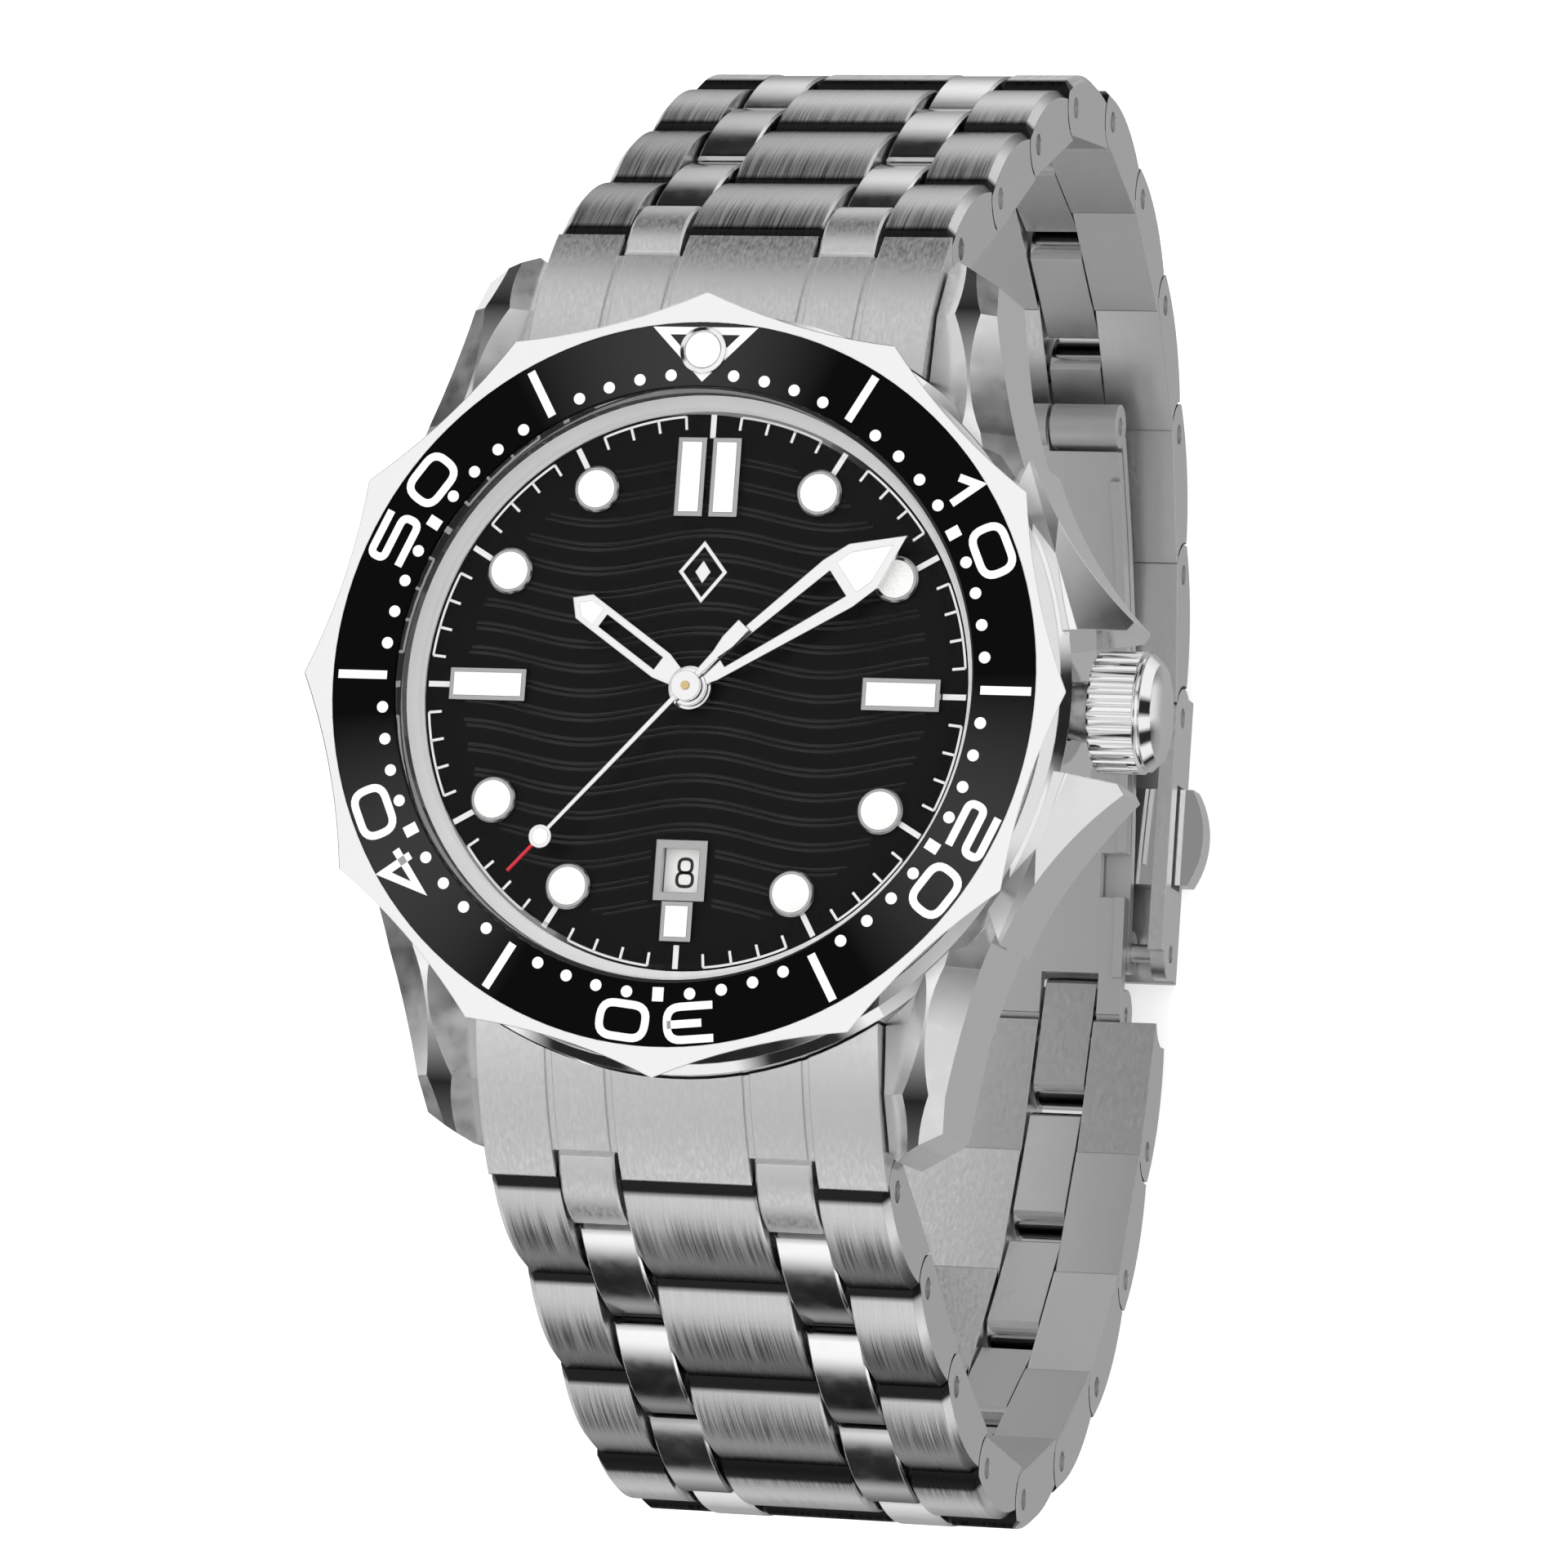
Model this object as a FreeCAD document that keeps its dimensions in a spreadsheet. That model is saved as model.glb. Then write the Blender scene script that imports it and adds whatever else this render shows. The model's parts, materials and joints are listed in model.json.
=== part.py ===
import FreeCAD, Part
import Sketcher

import math
import os
import re

Vector = FreeCAD.Vector
Rotation = FreeCAD.Rotation
Placement = FreeCAD.Placement

# A dive watch on its closed steel bracelet. +X points to 3 o'clock, +Y to 12 o'clock and +Z out of the dial.
# Each sub-part is drawn about the hand axis with z = 0 at the top of the dial, and its node is then raised
# so that the outer face of the case back lies at the origin. Lengths are millimetres, angles are degrees.

DIMENSIONS = {
    # case
    "case_radius": 20.2,
    "case_bore": 15.0,
    "case_bottom": -7.6,
    "neck_radius": 17.0,
    "neck_bore": 15.9,
    "neck_top": 1.95,
    "lug_gap": 22.2,
    "lug_tip_y": 23.9,
    "lug_tip_x": 14.1,
    "lug_bar_y": 21.6,
    "lug_bar_z": -5.2,
    "back_bottom": -9.0,
    "back_radius": 17.4,
    "running": 0.06,
    "dome_flat": 0.06,
    # bezel and glass
    "bezel_radius": 21.1,
    "bezel_bottom": 0.15,
    "bezel_top": 2.75,
    "insert_inner": 15.75,
    "insert_outer": 19.1,
    "insert_bottom": 2.2,
    "insert_top": 2.62,
    "shelf_bottom": 2.03,
    "click_count": 120,
    "facet_tilt": 32,
    "facet_radius": 40,
    "facet_reach": 19.6,
    "pearl_place": 17.6,
    "glass_radius": 15.5,
    "glass_bottom": 1.2,
    "glass_inside": 2.15,
    "glass_rim": 3.0,
    "glass_top": 3.7,
    # dial and hands
    "dial_radius": 14.95,
    "dial_thickness": 0.4,
    "round_marker_place": 12.2,
    "date_place": 9.55,
    "hour_level": 0.72,
    "minute_level": 1.12,
    "seconds_level": 1.52,
    "hand_thickness": 0.2,
    # crown and stem
    "crown_level": -3.7,
    "crown_radius": 3.2,
    "crown_start": 20.95,
    "crown_fluted_end": 23.5,
    "crown_end": 24.55,
    "flute_count": 30,
    # bracelet: pitch along the band, pin line to outer and inner faces, widths across it
    "pitch": 8.6,
    "link_crown": 2.05,
    "link_inside": 1.62,
    "knuckle": 1.8,
    "knuckle_gap": 0.15,
    "band_half": 10.95,
    "outer_width": 3.85,
    "narrow_width": 3.1,
    "piece_gap": 0.15,
    "pin_radius": 0.6,
    "first_pin_y": 25.2,
    "first_pin_z": -6.8,
    # clasp
    "cover_outer_z": -66.6,
    "cover_plate": 0.8,
    "cover_wall": 0.9,
    "cover_pin_y": -5.2,
    "cover_pin_z": -64.4,
    "blade_centre_y": -8.3,
    "blade_centre_z": -3.1,
    "blade_radius": 60.0,
    "blade_pitch": 0.55,
    "blade_thickness": 0.8,
    "blade_half": 8.6,
    "knee_y": 24.7,
    # movement
    "plate_radius": 14.3,
    "plate_top": -1.05,
    "plate_bottom": -3.0,
    "ring_radius": 14.0,
    "ring_inner": 8.0,
}
# Direction of each link row, from the case to the clasp, in degrees below the horizontal.
ROW_HEADINGS = (59, 57, 63, 82, 108, 124, 141, 157, 166)
TAB_HEADING = 46
TIME_SHOWN = {"hour": 304.5, "minute": 54.0, "second": 222.0}

doc = FreeCAD.newDocument("dive_watch")
sheet = doc.addObject("Spreadsheet::Sheet", "dims")
nodes = {}


def fill_sheet():
    for row, (alias, number) in enumerate(DIMENSIONS.items(), start=1):
        sheet.set(f"A{row}", alias)
        sheet.set(f"B{row}", str(number))
        sheet.setAlias(f"B{row}", alias)
    doc.recompute()


def bound(formula):
    """The formula as other objects read it: each alias looked up in the sheet."""
    return re.sub(r"[a-z][a-z_]+", lambda m: "dims." + m[0] if m[0] in DIMENSIONS else m[0], formula)


def value(formula):
    """The number a formula of sheet aliases works out to."""
    if isinstance(formula, (int, float)):
        return float(formula)
    found = sheet.evalExpression(formula)
    return float(getattr(found, "Value", found))


def bind(item, field, formula):
    if isinstance(formula, str):
        item.setExpression(field, bound(formula))
    return value(formula)


def keep(name, item):
    """Makes the object a node of its own, raised above the case back: its Label names the file."""
    node = placed(name + "_raised", item, Placement(Vector(0, 0, value("-back_bottom")), Rotation()))
    node.Label = name
    nodes[name] = node
    return node


# ---------------------------------------------------------------- sketches and solids

PLANES = {
    "XY": Rotation(),
    "XZ": Rotation(Vector(1, 0, 0), 90),
    "YZ": Rotation(Vector(1, 1, 1), 120),
}


def bent_edge(start, end, radius):
    """The arc from start to end that turns left (radius > 0) or right (radius < 0)."""
    chord = end - start
    side = Vector(-chord.y, chord.x, 0).normalize()
    size = abs(radius)
    depth = size - math.sqrt(max(size * size - chord.Length ** 2 / 4, 0))
    middle = (start + end) * 0.5 - side * depth * math.copysign(1, radius)
    return Part.Arc(start, middle, end)


def fill_sketch(sketch, corners):
    """A closed outline. A corner is (x, y), or (x, y, radius) when the edge that leaves it is bent."""
    points = [Vector(value(c[0]), value(c[1]), 0) for c in corners]
    count = len(corners)
    starts, ends = [], []
    for n, corner in enumerate(corners):
        start, end = points[n], points[(n + 1) % count]
        turn = value(corner[2]) if len(corner) == 3 else 0
        edge = bent_edge(start, end, turn) if turn else Part.LineSegment(start, end)
        made = sketch.addGeometry(edge, False)
        flipped = turn < 0
        starts.append((made, 2 if flipped else 1))
        ends.append((made, 1 if flipped else 2))
    for n, corner in enumerate(corners):
        sketch.addConstraint(Sketcher.Constraint("Coincident", *ends[n - 1], *starts[n]))
        for kind, formula in (("DistanceX", corner[0]), ("DistanceY", corner[1])):
            made = sketch.addConstraint(Sketcher.Constraint(kind, -1, 1, *starts[n], value(formula)))
            if isinstance(formula, str):
                sketch.setExpression(f"Constraints[{made}]", bound(formula))
        if len(corner) == 3:
            made = sketch.addConstraint(Sketcher.Constraint("Radius", starts[n][0], abs(value(corner[2]))))
    return sketch


def outline(name, plane, corners, offset=0.0):
    sketch = doc.addObject("Sketcher::SketchObject", name + "_sketch")
    normal = PLANES[plane].multVec(Vector(0, 0, 1))
    sketch.Placement = Placement(normal * value(offset), PLANES[plane])
    return fill_sketch(sketch, corners)


def turned(name, corners):
    """A solid of revolution about Z, from an outline of (radius, height) corners."""
    item = doc.addObject("Part::Revolution", name)
    item.Source = outline(name, "XZ", corners)
    item.Axis = Vector(0, 0, 1)
    item.Angle = 360
    item.Solid = True
    return item


def slab(name, plane, corners, low, high):
    """An outline pulled straight from one level to another along its plane's normal."""
    item = doc.addObject("Part::Extrusion", name)
    item.Base = outline(name, plane, corners, low)
    item.DirMode = "Normal"
    item.Solid = True
    item.LengthFwd = bind(item, "LengthFwd", f"({high}) - ({low})")
    return item


def rod(name, radius, low, high, centre=(0, 0), along="Z"):
    """A round bar between two levels along an axis; centre is its place across that axis."""
    item = doc.addObject("Part::Cylinder", name)
    item.Radius = bind(item, "Radius", radius)
    item.Height = bind(item, "Height", f"({high}) - ({low})")
    across = [value(c) for c in centre]
    if along == "Z":
        item.Placement = Placement(Vector(across[0], across[1], value(low)), Rotation())
    else:
        item.Placement = Placement(Vector(value(low), across[0], across[1]), Rotation(Vector(0, 1, 0), 90))
    return item


def block(name, low, high):
    item = doc.addObject("Part::Box", name)
    sides = [f"({h}) - ({l})" for l, h in zip(low, high)]
    item.Length = bind(item, "Length", sides[0])
    item.Width = bind(item, "Width", sides[1])
    item.Height = bind(item, "Height", sides[2])
    item.Placement = Placement(Vector(*[value(c) for c in low]), Rotation())
    return item


def group(name, items):
    item = doc.addObject("Part::Compound", name)
    item.Links = items
    return item


def fused(name, items):
    item = doc.addObject("Part::MultiFuse", name)
    item.Shapes = items
    return item


def cut(name, base, tools):
    item = doc.addObject("Part::Cut", name)
    item.Base = base
    item.Tool = tools[0] if len(tools) == 1 else fused(name + "_tools", tools)
    return item


def mirrored(name, source, normal):
    item = doc.addObject("Part::Mirroring", name)
    item.Source = source
    item.Normal = normal
    return item


def placed(name, source, place):
    """A moved copy that follows its source."""
    item = group(name, [source])
    item.Placement = place
    return item


def formed(name, shape, place=None):
    """A shape made with Part's own functions."""
    item = doc.addObject("Part::Feature", name)
    item.Shape = shape
    if place:
        item.Placement = place * item.Placement
    return item


def about_z(angle, centre=Vector()):
    return Placement(centre, Rotation(Vector(0, 0, 1), angle))


def in_yz(across, level):
    return Vector(0, across, level)


# ---------------------------------------------------------------- case

def wedge(near, far):
    """A facet cutter that grows from one triangle to another along a lug."""
    return Part.makeLoft([Part.makePolygon([*near, near[0]]), Part.makePolygon([*far, far[0]])], True, True)


def twisted_cut(side, stations):
    """What a twisted facet takes off a lug: the place of its edge on X and its slope at each LUG_TOP point."""
    reach, spare = 6.0, 0.5
    wires = []
    for (y, level), (edge, slope) in zip(LUG_TOP, stations):
        corners = [(edge - side * spare / slope, level + spare), (edge + side * reach, level + spare),
                   (edge + side * reach, level - reach * slope)]
        wires.append(Part.makePolygon([Vector(x, y, z) for x, z in (*corners, corners[0])]))
    return Part.makeLoft(wires, True, True)


# Height of a lug's top at four places on Y, from under the bezel to beyond its tip.
LUG_TOP = ((6.0, 0.0), (14.0, -0.05), (20.6, -1.5), (26.0, -5.3))


def lug_shape():
    """The lug at 1 to 2 o'clock: its plan, its side view and the twisted facets cut along it."""
    inner, tip_x, tip_y = value("lug_gap / 2"), value("lug_tip_x"), value("lug_tip_y")
    shoulder_y = 7.4
    shoulder = math.sqrt(value("case_radius") ** 2 - shoulder_y ** 2)
    plan = Part.Wire([
        Part.LineSegment(Vector(inner, 9, 0), Vector(inner, tip_y - 0.5, 0)).toShape(),
        Part.LineSegment(Vector(inner, tip_y - 0.5, 0), Vector(inner + 0.5, tip_y, 0)).toShape(),
        Part.LineSegment(Vector(inner + 0.5, tip_y, 0), Vector(tip_x, tip_y - 1.5, 0)).toShape(),
        Part.Arc(Vector(tip_x, tip_y - 1.5, 0), Vector(15.9, 14.8, 0), Vector(shoulder, shoulder_y, 0)).toShape(),
        Part.LineSegment(Vector(shoulder, shoulder_y, 0), Vector(inner, 9, 0)).toShape(),
    ])
    body = Part.Face(plan).extrude(Vector(0, 0, -10))
    side = Part.Wire([
        Part.LineSegment(in_yz(5, 0), in_yz(14, -0.05)).toShape(),
        Part.Arc(in_yz(14, -0.05), in_yz(20.6, -1.5), in_yz(26, -5.3)).toShape(),
        Part.LineSegment(in_yz(26, -5.3), in_yz(26, -8.9)).toShape(),
        Part.Arc(in_yz(26, -8.9), in_yz(22, -8.75), in_yz(17, value("case_bottom"))).toShape(),
        Part.LineSegment(in_yz(17, value("case_bottom")), in_yz(5, value("case_bottom"))).toShape(),
        Part.LineSegment(in_yz(5, value("case_bottom")), in_yz(5, 0)).toShape(),
    ])
    body = body.common(Part.Face(side).extrude(Vector(30, 0, 0)))
    outer_facet = twisted_cut(1, ((16.4, 0.45), (14.5, 0.6), (13.7, 0.9), (13.0, 1.0)))
    inner_facet = twisted_cut(-1, ((14.8, 0.4), (13.4, 0.5), (12.3, 0.7), (11.4, 0.9)))
    return body.cut(outer_facet).cut(inner_facet)


def guard_shape():
    """The crown guard above the crown: a sharp shoulder that sweeps out of the case side."""
    corners = Part.Wire([
        Part.Arc(Vector(17.3, 12.8, 0), Vector(19.7, 8.2, 0), Vector(22.9, 4.5, 0)).toShape(),
        Part.LineSegment(Vector(22.9, 4.5, 0), Vector(22.6, 4.0, 0)).toShape(),
        Part.LineSegment(Vector(22.6, 4.0, 0), Vector(19.0, 3.6, 0)).toShape(),
        Part.LineSegment(Vector(19.0, 3.6, 0), Vector(16.2, 10, 0)).toShape(),
        Part.LineSegment(Vector(16.2, 10, 0), Vector(17.3, 12.8, 0)).toShape(),
    ])
    body = Part.Face(corners).extrude(Vector(0, 0, -6.2))
    body.translate(Vector(0, 0, -0.2))
    top_facet = wedge(
        [Vector(20.0, 3, 0.2), Vector(26, 3, 0.2), Vector(26, 3, -3.8)],
        [Vector(16.2, 14, 0.2), Vector(24, 14, 0.2), Vector(24, 14, -6.2)],
    )
    low_facet = wedge(
        [Vector(21.0, 3, -6.8), Vector(26, 3, -6.8), Vector(26, 3, -4.6)],
        [Vector(17.6, 14, -6.8), Vector(24, 14, -6.8), Vector(24, 14, -4.2)],
    )
    return body.cut(top_facet).cut(low_facet)


def case_middle():
    core = turned("case_core", [
        (0, 0), ("case_radius - 0.5", 0), ("case_radius", -0.5), ("case_radius", "case_bottom + 1.2"),
        ("case_radius - 1.6", "case_bottom"), (0, "case_bottom"),
    ])
    neck = turned("case_neck", [(0, -1), ("neck_radius", -1), ("neck_radius", "neck_top"), (0, "neck_top")])
    lug = formed("lug", lug_shape())
    upper = group("upper_lugs", [lug, mirrored("lug_left", lug, Vector(1, 0, 0))])
    guard = formed("crown_guard", guard_shape())
    sides = [upper, mirrored("lower_lugs", upper, Vector(0, 1, 0))]
    sides += [guard, mirrored("crown_guard_low", guard, Vector(0, 1, 0))]
    solid = fused("case_solid", [core, neck, *sides])
    bores = turned("case_bores", [
        (0, "case_bottom - 1"), ("neck_bore", "case_bottom - 1"), ("neck_bore", "case_bottom + 0.8"),
        ("case_bore", "case_bottom + 0.8"), ("case_bore", 0), ("neck_bore", 0),
        ("neck_bore", "neck_top + 1"), (0, "neck_top + 1"),
    ])
    groove = turned("click_groove", [
        ("neck_radius + 0.4", -0.45), ("neck_radius + 2.0", -0.45),
        ("neck_radius + 2.0", 1), ("neck_radius + 0.4", 1),
    ])
    seat = rod("crown_seat", "crown_radius + 0.25", 20.4, 30, (0, "crown_level"), "X")
    tube_hole = rod("tube_hole", 1.6, 12, 22, (0, "crown_level"), "X")
    bars = [rod(f"bar_hole_{n}", 0.55, -12.6, 12.6, (side, "lug_bar_z"), "X")
            for n, side in enumerate(("lug_bar_y", "-lug_bar_y"))]
    keep("case_middle", cut("case_middle_cut", solid, [bores, groove, seat, tube_hole, *bars]))


def case_back():
    cup = turned("back_cup", [
        (0, "back_bottom"), ("back_radius - 2.6", "back_bottom"), ("back_radius", "case_bottom - 0.7"),
        ("back_radius", "case_bottom"), ("neck_bore - 0.05", "case_bottom"),
        ("neck_bore - 0.05", "case_bottom + 0.6"), (14.55, "case_bottom + 0.6"),
        (14.55, "case_bottom - 0.4"), (0, "case_bottom - 0.4"),
    ])
    notch = block("back_notch", (14.6, -1.2, "back_bottom - 0.2"), (18.6, 1.2, "back_bottom + 0.45"))
    notches = [placed(f"back_notch_{n}", notch, about_z(60 * n + 30)) for n in range(6)]
    keep("case_back", cut("case_back_cut", cup, notches))
    keep("case_back_gasket", turned("gasket_ring", [
        (15.05, "case_bottom + 0.62"), (15.8, "case_bottom + 0.62"),
        (15.8, "case_bottom + 0.78"), (15.05, "case_bottom + 0.78"),
    ]))


def glass():
    keep("rehaut_ring", turned("rehaut", [
        (14.85, 0.01), (15.85, 0.01), (15.85, 1.18), (15.5, 1.18), (14.85, 0.2),
    ]))
    keep("crystal_gasket", turned("glass_seal", [
        ("glass_radius", "glass_bottom"), ("neck_bore", "glass_bottom"),
        ("neck_bore", "neck_top"), ("glass_radius", "neck_top"),
    ]))
    keep("crystal", turned("glass_disc", [
        (0, "glass_inside"), (14.3, "glass_inside"), (14.85, "glass_bottom"), ("glass_radius", "glass_bottom"),
        ("glass_radius", "glass_rim"), ("glass_radius - 0.35", "glass_rim + 0.25", 260),
        ("dome_flat", "glass_top"), (0, "glass_top"),
    ]))


# ---------------------------------------------------------------- bezel

def bezel_shape(ring):
    """The ring with its twelve slightly hollow facets, one between each pair of hours, and its click teeth."""
    size, tilt = value("facet_radius"), value("facet_tilt")
    shape = ring
    for n in range(12):
        cutter = Part.makeCylinder(size, 60, Vector(size, 0, -30), Vector(0, 0, 1))
        cutter.rotate(Vector(), Vector(0, 1, 0), tilt)
        cutter.translate(Vector(value("facet_reach"), 0, value("bezel_top")))
        cutter.rotate(Vector(), Vector(0, 0, 1), 30 * n + 15)
        shape = shape.cut(cutter)
    step = 360 / value("click_count")
    tooth = Part.makePolygon([in_yz(-0.2, 0.1), in_yz(0.2, 0.1), in_yz(0, 0.45), in_yz(-0.2, 0.1)])
    notch = Part.Face(tooth).extrude(Vector(1.4, 0, 0))
    notch.translate(Vector(value("neck_radius") + 0.5, 0, 0))
    teeth = []
    for n in range(int(value("click_count"))):
        copy = notch.copy()
        copy.rotate(Vector(), Vector(0, 0, 1), step * n)
        teeth.append(copy)
    return shape.cut(Part.makeCompound(teeth))


def bezel():
    ring = turned("bezel_blank", [
        ("neck_radius + running", "bezel_bottom"), ("bezel_radius - 0.9", "bezel_bottom"),
        ("bezel_radius", "bezel_bottom + 0.7"), ("bezel_radius", "bezel_top - 0.5"),
        ("bezel_radius - 0.4", "bezel_top"), ("insert_outer", "bezel_top"),
        ("insert_outer", "insert_bottom"), ("insert_inner", "insert_bottom"),
        ("insert_inner", "shelf_bottom"), ("neck_radius + running", "shelf_bottom"),
    ])
    doc.recompute()
    keep("bezel_ring", formed("bezel_cut", bezel_shape(ring.Shape)))
    disc = turned("insert_disc", [
        ("insert_inner", "insert_bottom"), ("insert_outer", "insert_bottom"),
        ("insert_outer", "insert_top"), ("insert_inner", "insert_top"),
    ])
    hole = rod("pearl_hole", 1.25, 2, 3, (0, "pearl_place"))
    keep("bezel_insert", cut("insert_cut", disc, [hole]))
    cup = turned("pearl_cup", [(0, 2.2), (1.25, 2.2), (1.25, 2.85), (1.0, 2.9), (0.98, 2.4), (0, 2.4)])
    dome = turned("pearl_dome", [(0, 2.4), (0.95, 2.4), (0.95, 2.85, 1.6), ("dome_flat", 3.15), (0, 3.15)])
    pearl = group("pearl", [cup, dome])
    pearl.Placement = Placement(Vector(0, value("pearl_place"), 0), Rotation())
    keep("bezel_pearl", pearl)
    spring = turned("click_ring", [
        ("neck_radius + 0.5", -0.4), ("neck_radius + 1.9", -0.4),
        ("neck_radius + 1.9", -0.15), ("neck_radius + 0.5", -0.15),
    ])
    tab = block("click_tab", ("neck_radius + 0.7", -0.12, -0.2), ("neck_radius + 1.6", 0.1, 0.22))
    tabs = [placed(f"click_tab_{n}", tab, about_z(120 * n)) for n in range(3)]
    keep("bezel_click_spring", fused("click_spring", [spring, *tabs]))


# ---------------------------------------------------------------- dial and hands

def clock_point(radius, angle):
    """A point on the dial; angle runs clockwise from 12 o'clock."""
    turn = math.radians(angle)
    return Vector(radius * math.sin(turn), radius * math.cos(turn), 0)


def clockwise(angle):
    return Rotation(Vector(0, 0, 1), -angle)


def dial():
    disc = rod("dial_disc", "dial_radius", "-dial_thickness", 0)
    hole = rod("dial_hole", 0.95, -1, 1)
    window = block("date_window", (-1.05, "-date_place - 1.2", -1), (1.05, "-date_place + 1.2", 1))
    keep("dial", cut("dial_cut", disc, [hole, window]))
    frame = block("date_frame_block", (-1.4, "-date_place - 1.6", 0), (1.4, "-date_place + 1.6", 0.3))
    opening = block("date_frame_hole", (-1.0, "-date_place - 1.15", -1), (1.0, "-date_place + 1.15", 1))
    keep("date_frame", cut("date_frame_cut", frame, [opening]))


def round_marker():
    rim = turned("marker_rim", [(0, 0), (1.25, 0), (1.25, 0.3), (1.15, 0.4), (1.0, 0.4), (1.0, 0.15), (0, 0.15)])
    fill = turned("marker_fill", [(0, 0.15), (1.0, 0.15), (1.0, 0.38, 4), ("dome_flat", 0.5), (0, 0.5)])
    return group("round_marker", [rim, fill])


def bar_marker(name, width, length):
    """A framed bar with its luminous filling, centred on the origin and lying along Y."""
    half, reach, rim = width / 2, length / 2, 0.24
    body = block(name + "_body", (-half, -reach, 0), (half, reach, 0.42))
    pocket = block(name + "_pocket", (rim - half, rim - reach, 0.15), (half - rim, reach - rim, 1))
    fill = block(name + "_fill", (rim - half, rim - reach, 0.15), (half - rim, reach - rim, 0.46))
    return group(name, [cut(name + "_frame", body, [pocket]), fill])


def hour_markers():
    dot = round_marker()
    place = value("round_marker_place")
    items = []
    for hour in (1, 2, 4, 5, 7, 8, 10, 11):
        spot = Placement(clock_point(place, 30 * hour), Rotation())
        items.append(placed(f"marker_{hour}", dot, spot))
    twelve = bar_marker("bar_twelve", 1.55, 4.2)
    quarter = bar_marker("bar_quarter", 1.7, 4.2)
    six = bar_marker("bar_six", 1.7, 2.1)
    items.append(placed("marker_12_left", twelve, Placement(Vector(-0.95, 11.3, 0), Rotation())))
    items.append(placed("marker_12_right", twelve, Placement(Vector(0.95, 11.3, 0), Rotation())))
    items.append(placed("marker_3", quarter, Placement(Vector(11.3, 0, 0), clockwise(90))))
    items.append(placed("marker_9", quarter, Placement(Vector(-11.3, 0, 0), clockwise(90))))
    items.append(placed("marker_6", six, Placement(Vector(0, -12.25, 0), Rotation())))
    keep("hour_markers", group("hour_marker_set", items))


def hand(name, plates, openings, fills, level, hub, bore, shown, dot_at=None):
    """A hand at its level: plates less openings, a hub round its bore, and luminous fillings in the openings."""
    top = f"{level} + hand_thickness"
    parts = [slab(f"{name}_plate_{n}", "XY", c, level, top) for n, c in enumerate(plates)]
    parts.append(rod(f"{name}_hub", hub, level, f"{top} + 0.06"))
    holes = [slab(f"{name}_open_{n}", "XY", c, f"{level} - 0.2", f"{top} + 0.4") for n, c in enumerate(openings)]
    holes.append(rod(f"{name}_bore", bore, f"{level} - 1", f"{level} + 1"))
    lume = [slab(f"{name}_lume_{n}", "XY", c, f"{level} + 0.03", f"{top} - 0.02") for n, c in enumerate(fills)]
    if dot_at:
        parts.append(rod(f"{name}_dot_rim", 0.62, level, top, (0, dot_at)))
        holes.append(rod(f"{name}_dot_hole", 0.43, f"{level} - 0.2", f"{top} + 0.4", (0, dot_at)))
        lume.append(rod(f"{name}_dot_lume", 0.43, f"{level} + 0.03", f"{top} - 0.02", (0, dot_at)))
    metal = cut(name + "_metal", fused(name + "_blank", parts), holes)
    whole = group(name + "_whole", [metal, *lume])
    whole.Placement = Placement(Vector(), clockwise(TIME_SHOWN[shown]))
    keep(name, whole)


def hands():
    hand("hour_hand",
         [[(0.42, 0.6), (0.78, 2.0), (0.78, 7.4), (0, 8.2), (-0.78, 7.4), (-0.78, 2.0), (-0.42, 0.6)]],
         [[(-0.4, 2.2), (0.4, 2.2), (0.4, 6.1), (-0.4, 6.1)],
          [(-0.5, 6.45), (0.5, 6.45), (0.5, 7.2), (0, 7.75), (-0.5, 7.2)]],
         [[(-0.5, 6.45), (0.5, 6.45), (0.5, 7.2), (0, 7.75), (-0.5, 7.2)]],
         "hour_level", 1.15, 0.75, "hour")
    hand("minute_hand",
         [[(0.35, 0.5), (0.62, 1.5), (1.5, 9.6), (1.42, 11.2), (0, 14.0), (-1.42, 11.2), (-1.5, 9.6),
           (-0.62, 1.5), (-0.35, 0.5)]],
         [[(-0.26, 2.2), (0.26, 2.2), (0.82, 9.6), (-0.82, 9.6)],
          [(-0.95, 10.15), (0.95, 10.15), (0.95, 11.1), (0, 13.1), (-0.95, 11.1)]],
         [[(-0.95, 10.15), (0.95, 10.15), (0.95, 11.1), (0, 13.1), (-0.95, 11.1)]],
         "minute_level", 1.0, 0.5, "minute")
    hand("seconds_hand",
         [[(-0.14, 0), (0.14, 0), (0.1, 10.4), (-0.1, 10.4)],
          [(-0.07, 11.4), (0.07, 11.4), (0.07, 13.5), (-0.07, 13.5)],
          [(-0.12, 0), (-0.22, -2.3), (-0.4, -3.2), (-0.4, -4.4), (0.4, -4.4), (0.4, -3.2), (0.22, -2.3), (0.12, 0)]],
         [], [], "seconds_level", 0.8, 0.22, "second", 11.0)


# ---------------------------------------------------------------- crown and stem

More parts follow.
